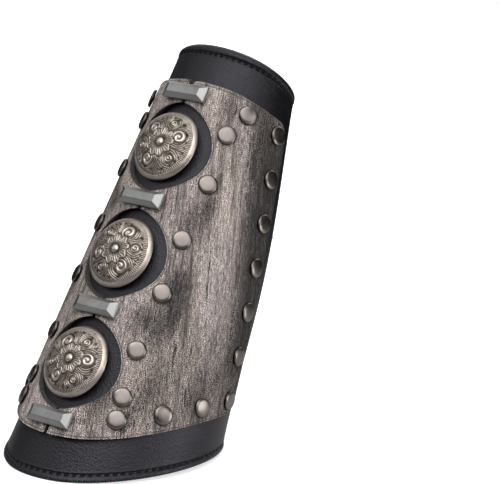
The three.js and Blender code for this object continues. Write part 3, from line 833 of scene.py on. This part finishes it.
def panel_piece(name, side):
    points, faces, edges_from, hide, border = PANEL
    placed = points * np.array([side, 1, 1])
    turned = faces if side > 0 else [face[::-1] for face in faces]
    piece = mesh_piece(name, placed, turned, [GREY_LEATHER, SHADED_CUT_EDGE, RUBBED_EDGE])
    set_uv(piece, "hide", hide * np.array([side, 1]) + (0.0 if side > 0 else 0.3))
    # the smear attribute carries dirt, and painted shade on the panels' sides
    set_attribute(piece, "smear_and_shade", smear_and_shade_at(hide, side))
    set_attribute(piece, "border", border)
    # the panels' walls take the cut edge's dark finish, which is painted shade
    for face in list(piece.data.polygons)[edges_from:]:
        face.material_index = 1
    sharp = piece.data.attributes.new("sharp_face", "BOOLEAN", "FACE")
    sharp.data.foreach_set("value", [False] * edges_from + [True] * (len(faces) - edges_from))
    bevel(piece, 0.35)
    piece.modifiers["edges"].material = 2
    apply_modifiers(piece)
    return piece


PANEL = make_panel()
for panel_side, panel_name in ((1, "right"), (-1, "left")):
    panel = panel_piece(f"hide_panel_{panel_name}", panel_side)
    stand_for(panel, "grey_leather", f"panel_{panel_name}")


# Discs: a domed casting with a boss, a ring of petals, volutes wrapped in fans of fine arcs,
# a ring of short dashes and a plain rim
DISC_SIDES, DISC_RINGS = 420, 118
DISC_SPINS = (18, 75, 130)
# radii, heights and counts of the ornament's parts, from the middle out, and how softly they start
BOSS_RADIUS, BOSS_HEIGHT = 2.3, 1.55
FLOWER_RADIUS, PETALS, VEINS = 6.3, 9, 27
LEAF_TIPS, TIP_RADIUS = 24, 14.6
DASHES, DASHES_FROM, DASHES_TO = 104, 15.45, 16.95
RIM_FROM, EASE = 17.3, 0.1
# Middles that the arcs of the ornament bend round: distance from the disc's middle, angle,
# radius of the volute, way it winds
SCROLLS = (
    (10.4, 0, 3.9, 1), (11.4, 62, 2.2, -1), (10.6, 118, 3.6, -1), (11.8, 172, 1.9, 1),
    (10.5, 232, 3.8, 1), (11.3, 296, 2.3, -1),
)


def smooth_step(low, high, value):
    share = np.clip((value - low) / (high - low), 0, 1)
    return share * share * (3 - 2 * share)


def ridges(phase, sharpness=1.0):
    """Rounded parallel ridges, from 0 in a groove to 1 on a crest, once for each turn of phase."""
    return (0.5 + 0.5 * np.cos(2 * math.pi * phase)) ** sharpness


def scroll_relief(radius, turn, seed):
    """Depth of the ornament in millimetres, and from 0 to 1 how bright each point is: crests worn bright,
    recesses dark with patina and painted shade.
    """
    nearest = np.full_like(radius, 1e6)
    second = np.full_like(radius, 1e6)
    scroll = np.zeros_like(radius)
    for i, (far, middle, size, hand) in enumerate(SCROLLS):
        middle = math.radians(middle + 6 * math.sin(2.3 * i + seed))
        x = radius * np.cos(turn) - far * math.cos(middle)
        y = radius * np.sin(turn) - far * math.sin(middle)
        away, around = np.hypot(x, y), np.arctan2(y, x) - middle
        phase = hand * around / (2 * math.pi)
        band = ridges(away / (0.62 * size) - phase - 0.1, 0.55)
        eye = np.exp(-(away / (0.2 * size)) ** 2)
        arcs = ridges((away - size) / 1.12 - phase + 0.12 * np.sin(5 * around), 0.8)
        leaf = 0.72 + 0.28 * np.sin(4 * around + 0.5 * away + seed)
        inside = 1 - smooth_step(size - 0.1, size + 0.15, away)
        shape = inside * np.maximum(0.1 + 0.9 * band, eye) + (1 - inside) * (0.22 + 0.56 * arcs * leaf)
        # the dark groove round the volute
        shape = shape * (1 - 0.75 * np.exp(-((away - size) / 0.32) ** 2))
        reach = away - 0.9 * size
        closer = reach < nearest
        second = np.where(closer, nearest, np.minimum(second, reach))
        nearest = np.where(closer, reach, nearest)
        scroll = np.where(closer, shape, scroll)
    # fans end in a valley against their neighbours
    relief = scroll * (0.35 + 0.65 * smooth_step(0.0, 0.7, second - nearest))
    # dark pits between the leaf tips by the dashes
    tips = ridges(LEAF_TIPS * turn / (2 * math.pi) + 0.6 * np.sin(3 * turn + seed), 2.0)
    relief = relief * (1 - 0.8 * tips * np.exp(-((radius - TIP_RADIUS) / 0.75) ** 2))
    # ring of pointed petals with a raised outline round the boss
    petal = np.abs(np.cos(PETALS / 2 * turn + 0.3 * seed))
    reach = FLOWER_RADIUS + 1.5 * petal ** 1.4
    off = radius - reach
    flower = 1 - smooth_step(0.25, 0.6, off)
    outline = np.exp(-((off + 0.15) / 0.34) ** 2)
    vein = ridges(VEINS * turn / (2 * math.pi) + 0.15 * seed, 1.0)
    inner = 0.22 + 0.4 * vein * smooth_step(3.6, 4.6, radius) + 0.15 * petal
    relief = relief * (1 - flower) + flower * np.maximum(inner, 0.95 * outline)
    relief = relief * (1 - 0.7 * np.exp(-((off - 0.75) / 0.3) ** 2))
    # boss in a shallow bowl
    bowl = 1 - smooth_step(3.4, 4.0, radius)
    relief = relief * (1 - bowl) + bowl * 0.3 * smooth_step(2.0, 3.6, radius)
    boss = BOSS_HEIGHT * np.sqrt(np.clip(1 - (radius / BOSS_RADIUS) ** 2, 0, 1))
    relief = np.maximum(relief, boss)
    # dashes and rim
    dashes = smooth_step(DASHES_FROM - EASE, DASHES_FROM + EASE, radius)
    dashes = dashes * (1 - smooth_step(DASHES_TO - EASE, DASHES_TO + EASE, radius))
    relief = relief * (1 - dashes) + dashes * (0.1 + 0.6 * ridges(DASHES * turn / (2 * math.pi), 0.9))
    rim = smooth_step(17.0, RIM_FROM, radius)
    relief = relief * (1 - rim) + rim * 0.7
    return relief, np.clip(0.06 + 0.9 * relief, 0, 1)


def disc_shape(spin, seed):
    """Points, faces, and wear with patina and painted shade, of one disc about +Z, its flat back on the
    level of the origin.
    """
    edge = DISC_DIAMETER / 2
    rings = np.concatenate([
        np.linspace(0.25, 17.4, DISC_RINGS),
        [17.75, 18.1, 18.45, 18.72, 18.9, 18.98, 19.0],
    ])
    turns = full_turn(DISC_SIDES)
    radius, turn = np.meshgrid(rings, turns, indexing="ij")
    relief, relief_wear_and_shade = scroll_relief(radius, turn - spin, seed)
    dome = DISC_RIM * 0.72 + DISC_DOME * np.clip(1 - (radius / edge) ** 2, 0, 1) ** 0.85
    drop = 0.75 * (1 - rounded(edge - radius, edge - RIM_FROM))
    height = dome + 0.7 * relief - drop
    back_rings = [(18.96, 1.5), (18.8, 1.1), (18.3, 0.75), (17.2, 0.55), (14.0, 0.3)]
    points = [stack(radius * np.cos(turn), radius * np.sin(turn), height).reshape(-1, 3)]
    points += [stack(far * np.cos(turns), far * np.sin(turns), rise) for far, rise in back_rings]
    count = DISC_SIDES
    rows = len(rings) + len(back_rings)
    points.append(np.array([[0, 0, height[0].mean() + 0.02], [0, 0, 0.0]]))
    points = np.concatenate(points)
    faces = grid_faces(count, rows, closed=True, flip=True)
    last = rows * count
    for i in range(count):
        faces.append([last, i, (i + 1) % count])
        faces.append([last + 1, (rows - 1) * count + (i + 1) % count, (rows - 1) * count + i])
    wear_and_shade = np.concatenate([relief_wear_and_shade.reshape(-1), np.full(len(back_rings) * count, 0.55), [1.0, 0.4]])
    return points, faces, wear_and_shade


for disc_number, (disc_height, disc_spin) in enumerate(zip(DISC_HEIGHTS, DISC_SPINS), 1):
    disc_points, disc_faces, disc_wear_and_shade = disc_shape(math.radians(disc_spin), 1.9 * disc_number)
    disc = mesh_piece(f"disc_{disc_number}", disc_points, disc_faces, [CAST_SILVER])
    # the relief attribute carries wear, and patina with painted shade in the recesses
    set_attribute(disc, "relief", disc_wear_and_shade)
    disc.data.transform(front_frame(disc_height, CLEARANCE))
    stand_for(disc, "cast_silver", f"concho_{disc_number}")


# Bars
def make_bar(name, z):
    x, y = BAR_LENGTH / 2, BAR_WIDTH / 2
    points = []
    for dx, dy, height in ((0, 0, 0), (0, 0, BAR_SKIRT), (BAR_HIP, BAR_BEVEL, BAR_HEIGHT)):
        points += [
            (-x + dx, -y + dy, height), (x - dx, -y + dy, height),
            (x - dx, y - dy, height), (-x + dx, y - dy, height),
        ]
    faces = [(0, 3, 2, 1), (8, 9, 10, 11)]
    for ring in (0, 4):
        faces += [(ring + i, ring + (i + 1) % 4, ring + (i + 1) % 4 + 4, ring + i + 4) for i in range(4)]
    piece = mesh_piece(name, points, faces, [BAR_METAL], smooth=False)
    piece.data.transform(front_frame(z, 2 * CLEARANCE + PANEL_WALL))
    bevel(piece, 0.35, 3, 12)
    apply_modifiers(piece)
    return piece


for bar_number, bar_height in enumerate(BAR_HEIGHTS, 1):
    bar = make_bar(f"bevelled_bar_{bar_number}", bar_height)
    stand_for(bar, "satin_metal", f"bar_{bar_number}")


# What repeats is set out by Geometry Nodes: one template on many points, turned to each normal
LAYOUT_INPUTS = {
    "Geometry": "Geometry", "Template": "Object", "Scale": "Float", "Seed": "Int", "Material": "Material",
}
LAYOUT_NODES = {
    "inlet": "NodeGroupInput",
    "points": "GeometryNodeMeshToPoints",
    "facing": "GeometryNodeInputNamedAttribute",
    "align": "FunctionNodeAlignRotationToVector",
    "spin": "FunctionNodeRandomValue",
    "turn": "FunctionNodeAxisAngleToRotation",
    "rotate": "FunctionNodeRotateRotation",
    "info": "GeometryNodeObjectInfo",
    "place": "GeometryNodeInstanceOnPoints",
    "realize": "GeometryNodeRealizeInstances",
    "finish": "GeometryNodeSetMaterial",
    "outlet": "NodeGroupOutput",
}
# from a node's output to a node's input
LAYOUT_LINKS = (
    ("inlet", "Geometry", "points", "Mesh"),
    ("facing", "Attribute", "align", "Vector"),
    ("inlet", "Seed", "spin", "Seed"),
    ("spin", 1, "turn", "Angle"),
    ("align", "Rotation", "rotate", "Rotation"),
    ("turn", "Rotation", "rotate", "Rotate By"),
    ("inlet", "Template", "info", "Object"),
    ("points", "Points", "place", "Points"),
    ("info", "Geometry", "place", "Instance"),
    ("rotate", "Rotation", "place", "Rotation"),
    ("inlet", "Scale", "place", "Scale"),
    ("place", "Instances", "realize", "Geometry"),
    ("realize", "Geometry", "finish", "Geometry"),
    ("inlet", "Material", "finish", "Material"),
    ("finish", "Geometry", "outlet", "Geometry"),
)


def lathe(name, profile, sides, material):
    """A closed template about +Z from a profile of radius and height, first and last on the axis
    or closed on itself."""
    turns = full_turn(sides)
    points, rows = [], []
    for radius, height in profile:
        if radius == 0:
            rows.append([len(points)] * sides)
            points.append((0, 0, height))
            continue
        rows.append(list(range(len(points), len(points) + sides)))
        points += [(radius * math.cos(t), radius * math.sin(t), height) for t in turns]
    if profile[0] == profile[-1]:
        points = points[:-sides]
        rows[-1] = rows[0]
    faces = []
    for low, high in zip(rows, rows[1:]):
        for i in range(sides):
            j = (i + 1) % sides
            face = [low[i], low[j], high[j], high[i]]
            faces.append([v for k, v in enumerate(face) if v not in face[:k]])
    return mesh_piece(name, points, faces, [material])


def layout_tree(name):
    tree = bpy.data.node_groups.new(name, "GeometryNodeTree")
    for socket, kind in LAYOUT_INPUTS.items():
        tree.interface.new_socket(socket, in_out="INPUT", socket_type=f"NodeSocket{kind}")
    tree.interface.new_socket("Geometry", in_out="OUTPUT", socket_type="NodeSocketGeometry")
    nodes = {label: tree.nodes.new(kind) for label, kind in LAYOUT_NODES.items()}
    nodes["facing"].data_type = "FLOAT_VECTOR"
    nodes["facing"].inputs["Name"].default_value = "facing"
    nodes["align"].axis = "Z"
    nodes["spin"].data_type = "FLOAT"
    nodes["spin"].inputs["Max"].default_value = 2 * math.pi
    nodes["turn"].inputs["Axis"].default_value = (0, 0, 1)
    nodes["rotate"].rotation_space = "LOCAL"
    for start, output, end, socket in LAYOUT_LINKS:
        tree.links.new(nodes[start].outputs[output], nodes[end].inputs[socket])
    return tree


def set_out(name, template, places, normals, material, seed):
    """Copies of a template on points, its +Z along each normal, as one plain mesh."""
    carrier = mesh_piece(name, places, [], [material])
    layer = carrier.data.attributes.new("facing", "FLOAT_VECTOR", "POINT")
    layer.data.foreach_set("vector", np.asarray(normals, float).reshape(-1))
    tree = layout_tree(f"{name} layout")
    modifier = carrier.modifiers.new("layout", "NODES")
    modifier.node_group = tree
    values = {"Template": template, "Scale": 1.0, "Seed": seed, "Material": material}
    for item in tree.interface.items_tree:
        if item.in_out == "INPUT" and item.name in values:
            modifier[item.identifier] = values[item.name]
    apply_modifiers(carrier)
    bpy.data.objects.remove(template)
    return carrier


def rivet_template():
    seat = 2 * CLEARANCE + PANEL_WALL
    under = -SLEEVE_WALL - 2 * CLEARANCE
    edge = RIVET_DIAMETER / 2
    top = seat + RIVET_HEIGHT
    burr = [(0, -0.8), (RIVET_BURR * 0.36, -0.72), (RIVET_BURR / 2, -0.35), (RIVET_BURR / 2, 0),
            (RIVET_SHANK, 0.05)]
    rim = [(0.3, 0), (0.04, 0.1), (0, 0.35), (0.06, 0.75), (0.25, 1.12), (0.6, 1.42), (1.05, 1.6)]
    crown = [(0.58, 0.16), (0.4, 0.075), (0.22, 0.02), (0, 0)]
    profile = [(radius, under + rise) for radius, rise in burr] + [(RIVET_SHANK, seat - 0.05)]
    profile += [(edge - inset, seat + rise) for inset, rise in rim]
    profile += [(edge * share, top - drop) for share, drop in crown]
    template = lathe("rivet_template", profile, 32, RIVET_METAL)
    corners = np.array([tuple(vertex.co) for vertex in template.data.vertices]) / MM
    radius = np.hypot(corners[:, 0], corners[:, 1])
    # painted shade: a dark ring at the cap's outer edge stands for the contact shadow round it
    set_attribute(template, "painted_rim_shade", smooth_step(edge - 0.3, edge - 0.05, radius))
    return template


def eyelet_template():
    bore, barrel, flange = EYELET_BORE / 2, EYELET_BARREL / 2, EYELET_FLANGE / 2
    profile = [
        (bore, -SLEEVE_WALL), (bore + 0.1, -SLEEVE_WALL - 0.35), (barrel - 0.1, -SLEEVE_WALL - 0.35),
        (barrel, -SLEEVE_WALL), (barrel, 0.1), (flange, CLEARANCE), (flange, CLEARANCE + 0.25),
        (flange - 0.25, CLEARANCE + 0.55), (flange - 0.75, CLEARANCE + EYELET_LIP - 0.05),
        (barrel, CLEARANCE + EYELET_LIP), (bore + 0.2, CLEARANCE + EYELET_LIP - 0.15),
        (bore, CLEARANCE + 0.2), (bore, -SLEEVE_WALL),
    ]
    return lathe("eyelet_template", profile, 32, BLACK_LACQUER)


def make_fasteners(name, template, places, material, seed):
    """Rivets or eyelets at places of angle and height, square to the leather."""
    phi = np.array([phi for phi, _ in places])
    z = np.array([z for _, z in places])
    return set_out(name, template, on_sleeve(phi, z), outward(phi, z), material, seed)


rivet_pairs = [(side * phi, z) for side in (1, -1) for phi, z in RIVETS]
rivets = make_fasteners("rivets", rivet_template(), rivet_pairs, RIVET_METAL, 3)
stand_for(rivets, "rivet_metal",
          *(f"rivet_{side}_{i + 1:02d}" for side in ("right", "left") for i in range(len(RIVETS))))

eyelet_pairs = [(back_angle(side * EYELET_X, z), z) for side in (1, -1) for z in EYELET_HEIGHTS]
eyelets = make_fasteners("eyelets", eyelet_template(), eyelet_pairs, BLACK_LACQUER, 5)
stand_for(eyelets, "black_lacquer",
          *(f"eyelet_{side}_{i + 1}" for side in ("right", "left") for i in range(EYELETS)))


# Stitches along both rims
def stitch_template():
    length, radius = STITCH_LENGTH / 2, STITCH_THICKNESS / 2
    steps = [math.radians(v) for v in (90, 55, 20)]
    half = [(radius * math.cos(a) if a < 1.5 else 0, length - radius + radius * math.sin(a)) for a in steps]
    profile = [(r, -h) for r, h in half] + [(r, h) for r, h in reversed(half)]
    return lathe("stitch_template", profile, 8, THREAD)


def stitch_line(rim, inward, pitch):
    """Places and directions of the stitches at the hem's distance from a rim."""
    end = float(back_angle(LACING_GAP / 2 + HEM, BULGE_PEAK))
    turns = np.linspace(-end, end, 4000)
    run = rim_run(rim, turns)
    count = int(run[-1] / pitch - 0.5)
    turns = np.interp((np.arange(-count, count) + 0.5) * pitch, run, turns)
    step = 0.004
    places = level(turns, rim(turns) + inward * HEM, -STITCH_SINK)
    ahead = level(turns + step, rim(turns + step) + inward * HEM, -STITCH_SINK)
    return places, ahead - places


stitch_lines = [stitch_line(elbow_rim, 1, STITCH_PITCHES[0]), stitch_line(wrist_rim, -1, STITCH_PITCHES[1])]
stitch_places, stitch_ways = (np.concatenate(parts) for parts in zip(*stitch_lines))
stitches = set_out("stitches", stitch_template(), stitch_places, stitch_ways, THREAD, 7)
stand_for(stitches, "black_cord")


# Lace: one cord through all the eyelets, tied in a bow near the wrist
def lacing_half(first):
    middle = -SLEEVE_WALL / 2 + CLEARANCE
    play = (EYELET_BORE - LACE_DIAMETER) / 2 - CLEARANCE
    points = []
    for k, z in enumerate(EYELET_HEIGHTS):
        outgoing = k % 2 == 0
        side = first if outgoing else -first
        for turn in (math.radians(v) for v in (-90, -45, 0, 45, 90)):
            x = EYELET_X + play / 2 - LACE_TURN * (1 - math.cos(turn))
            off = middle + LACE_TURN * math.sin(turn if outgoing else -turn)
            points.append(behind(side * x, z, off))
        if k == EYELETS - 1:
            continue
        over = (k < 2) == (first > 0)
        reach = LACE_SLACK + LACE_DIAMETER + 2 * CLEARANCE if over else LACE_SLACK
        off = reach if outgoing else middle - LACE_TURN - reach + LACE_SLACK
        points.append(behind(0.0, (z + EYELET_HEIGHTS[k + 1]) / 2, off))
    return points


KNOT_MIDDLE = behind(0.0, EYELET_HEIGHTS[-1] - KNOT_DROP, KNOT_LIFT)

# Routes beside the knot: across, up and outward, in multiples of the lace's diameter
TO_KNOT = [(3.9, 2.9, -1.5), (2.6, 1.9, -0.9), (1.75, 1.25, -0.45)]
LOOP_ROUTE = [
    (1.95, 0.3, 0.1), (3.3, 0.2, 0.0), (4.8, -1.4, -0.5), (5.4, -4.4, -1.3), (5.0, -7.4, -2.0),
    (3.9, -8.6, -2.2), (3.0, -7.2, -1.7), (2.5, -4.4, -0.7), (2.1, -2.4, -0.1), (1.5, -1.3, 0.1),
]
TAIL_ROUTE = [
    (0.7, -1.0, 1.5), (1.2, -2.4, 1.9), (1.5, -4.8, 2.0), (1.7, -8.0, 2.0), (1.8, -11.5, 2.0),
    (1.9, -15.0, 2.0),
]


def beside_knot(route, side):
    return [KNOT_MIDDLE + LACE_DIAMETER * np.array([side * across, out, up]) for across, up, out in route]


def between(s, start, end, a, b):
    """What lies at s on the way from a at start to b at end."""
    return (end - s) / (end - start) * a + (s - start) / (end - start) * b


def smooth_route(points, spacing):
    """A centripetal Catmull-Rom run through the points, as even steps."""
    points = [np.asarray(p, float) for p in points]
    ends = [2 * points[0] - points[1]] + points + [2 * points[-1] - points[-2]]
    run = []
    for p0, p1, p2, p3 in zip(ends, ends[1:], ends[2:], ends[3:]):
        gaps = [max(np.linalg.norm(b - a), 1e-6) ** 0.5 for a, b in ((p0, p1), (p1, p2), (p2, p3))]
        t = np.cumsum([0] + gaps)
        for s in np.linspace(t[1], t[2], 24, endpoint=False):
            first = between(s, t[0], t[1], p0, p1)
            second = between(s, t[1], t[2], p1, p2)
            third = between(s, t[2], t[3], p2, p3)
            low = between(s, t[0], t[2], first, second)
            high = between(s, t[1], t[3], second, third)
            run.append(between(s, t[1], t[2], low, high))
    run = np.array(run + [points[-1]])
    length = run_length(run)
    even = np.linspace(0, length[-1], max(4, int(length[-1] / spacing)))
    return np.stack([np.interp(even, length, run[:, i]) for i in range(3)], -1)


def cord_piece(name, node, route, spacing=0.7, sides=14):
    """A round cord along a route, with rounded ends and a UV map in metres."""
    run = smooth_route(route, spacing)
    along = np.gradient(run, axis=0)
    along /= np.linalg.norm(along, axis=1, keepdims=True)
    side = np.cross(along[0], (0.3, 0.5, 0.8))
    side /= np.linalg.norm(side)
    across = []
    for tangent in along:
        side = side - tangent * side.dot(tangent)
        side /= np.linalg.norm(side)
        across.append(side)
    across = np.array(across)
    up = np.cross(along, across)
    turns = full_turn(sides)
    length = run_length(run)
    from_end = np.minimum(length, length[-1] - length) + 0.05
    radius = LACE_DIAMETER / 2 * rounded(from_end, LACE_DIAMETER * 0.4)
    ring = across[:, None, :] * np.cos(turns)[None, :, None] + up[:, None, :] * np.sin(turns)[None, :, None]
    points = (run[:, None, :] + ring * radius[:, None, None]).reshape(-1, 3)
    rows = len(run)
    faces = grid_faces(sides, rows, closed=True)
    faces.append(list(range(sides))[::-1])
    faces.append([(rows - 1) * sides + i for i in range(sides)])
    piece = mesh_piece(name, points, faces, [CORD])
    layer = piece.data.uv_layers.new(name="cord")
    girth = math.pi * LACE_DIAMETER * MM
    for face in piece.data.polygons:
        columns = [v % sides for v in face.vertices]
        wraps = max(columns) - min(columns) > 1
        for loop, vertex, column in zip(face.loop_indices, face.vertices, columns):
            turn = sides if wraps and column == 0 else column
            layer.data[loop].uv = (turn / sides * girth, length[vertex // sides] * MM)
    stand_for(piece, "black_cord", node)


def lace_route():
    crossing = behind(0.0, EYELET_HEIGHTS[0], -SLEEVE_WALL / 2 + CLEARANCE - LACE_TURN)
    return [
        *beside_knot(TO_KNOT, -1)[::-1], *lacing_half(-1)[::-1], crossing,
        *lacing_half(1), *beside_knot(TO_KNOT, 1),
    ]


def knot_route():
    """Two tight wraps round the middle of the bow, one leaning each way."""
    wraps = []
    for i in range(33):
        turn = 4 * math.pi * i / 32
        shift = mix(-0.62, 0.62, i / 32)
        wraps.append((shift + 0.25 * math.sin(turn), 1.15 * math.cos(turn), 1.1 * math.sin(turn)))
    return beside_knot(wraps, 1)


cord_piece("laced_cord", "lace", lace_route())
cord_piece("bow_knot", "lace_knot", knot_route())
for bow_side, bow_name in ((1, "right"), (-1, "left")):
    cord_piece(f"bow_loop_{bow_name}", f"lace_loop_{bow_name}", beside_knot(LOOP_ROUTE, bow_side))
    cord_piece(f"bow_tail_{bow_name}", f"lace_tail_{bow_name}", beside_knot(TAIL_ROUTE, bow_side))


# Floor, backdrop and soft studio light: name, turn from the front, rise, distance, size, watts
STUDIO_LIGHTS = (
    ("key", 42, 43, 1.6, 1.45, 15.5),
    ("side", 88, 20, 1.6, 0.6, 3.4),
    ("fill", -50, 38, 1.6, 1.6, 6.0),
    ("back", -137, 30, 1.6, 1.3, 3.6),
    ("rear", -168, 36, 1.6, 1.3, 9.0),
)
# small cards that only gloss shows
CARDS = (("low card", 106, -14, 0.3, 0.15, 0.36), ("high card", -2, 48.7, 0.61, 0.2, 0.45))
OVERHEAD_STRENGTH = 0.95
AMBIENT = 0.025
FLOOR_GLOW = 0.63
# what gloss shows of the floor: middle, reach and strength of each pale patch
FLOOR_GLEAMS = ((-0.19, -0.31, 0.62, 0.62), (0.12, 0.16, 0.4, 0.6))
WHITE = (1, 1, 1, 1)


def place_light(name, data, turn, rise, distance):
    """A light that looks at the middle of the bracer."""
    light = add_object(name, data)
    way = toward(turn, rise)
    light.location = way * distance + Vector((0, 0, 0.1))
    light.rotation_euler = way.to_track_quat("Z", "Y").to_euler()
    return light


def soft_light(name, turn, rise, distance, size, power):
    data = bpy.data.lights.new(name, "AREA")
    data.energy = power
    data.size = size
    return place_light(name, data, turn, rise, distance)


def choose(tree, ray, usual, other, output):
    """Shows one shader to a kind of ray, and the usual one to all the rest."""
    path = tree.nodes.new("ShaderNodeLightPath")
    choice = tree.nodes.new("ShaderNodeMixShader")
    tree.links.new(path.outputs[ray], choice.inputs["Fac"])
    tree.links.new(usual.outputs[0], choice.inputs[1])
    tree.links.new(other.outputs[0], choice.inputs[2])
    tree.links.new(choice.outputs[0], tree.nodes[output].inputs["Surface"])


def make_world(scene):
    """A white backdrop that gives only a dim light of its own."""
    scene.world = bpy.data.worlds.new("studio")
    scene.world.use_nodes = True
    tree = scene.world.node_tree
    dim, white = tree.nodes["Background"], tree.nodes.new("ShaderNodeBackground")
    dim.inputs["Strength"].default_value = AMBIENT
    dim.inputs["Color"].default_value = WHITE
    white.inputs["Color"].default_value = WHITE
    choose(tree, "Is Camera Ray", dim, white, "World Output")


def make_floor():
    paper = Finish("studio paper", Roughness=0.9, Base_Color=(0.94, 0.94, 0.94, 1),
                   Emission_Color=WHITE, Emission_Strength=FLOOR_GLOW)
    gleam = paper.nodes.new("ShaderNodeEmission")
    gleam.inputs["Color"].default_value = (0.96, 0.97, 1, 1)
    strength = 0.0
    for x, y, reach, power in FLOOR_GLEAMS:
        near = paper.nodes.new("ShaderNodeTexGradient")
        near.gradient_type = "SPHERICAL"
        place = paper.mapping(paper.object_place(), (1 / reach, 1 / reach, 1), (-x / reach, -y / reach, 0))
        paper.links.new(place, near.inputs["Vector"])
        strength = paper.math("MULTIPLY_ADD", near.outputs["Fac"], power, strength)
    paper.links.new(strength, gleam.inputs["Strength"])
    choose(paper.material.node_tree, "Is Glossy Ray", paper.shader, gleam, "Material Output")
    bpy.ops.mesh.primitive_plane_add(size=40)
    floor = bpy.context.object
    floor.name = "floor"
    floor.data.materials.append(paper.material)
    floor.visible_diffuse = False


def make_studio():
    scene = bpy.context.scene
    scene.view_settings.view_transform = "Standard"
    scene.view_settings.look = "None"
    scene.view_settings.exposure = 0.0
    make_floor()
    make_world(scene)
    for light in STUDIO_LIGHTS:
        soft_light(*light)
    for card in CARDS:
        soft_light(*card).visible_diffuse = False
    data = bpy.data.lights.new("overhead", "SUN")
    data.energy = OVERHEAD_STRENGTH
    data.angle = math.radians(60)
    place_light("overhead", data, 20, 80, 1.6)


make_studio()
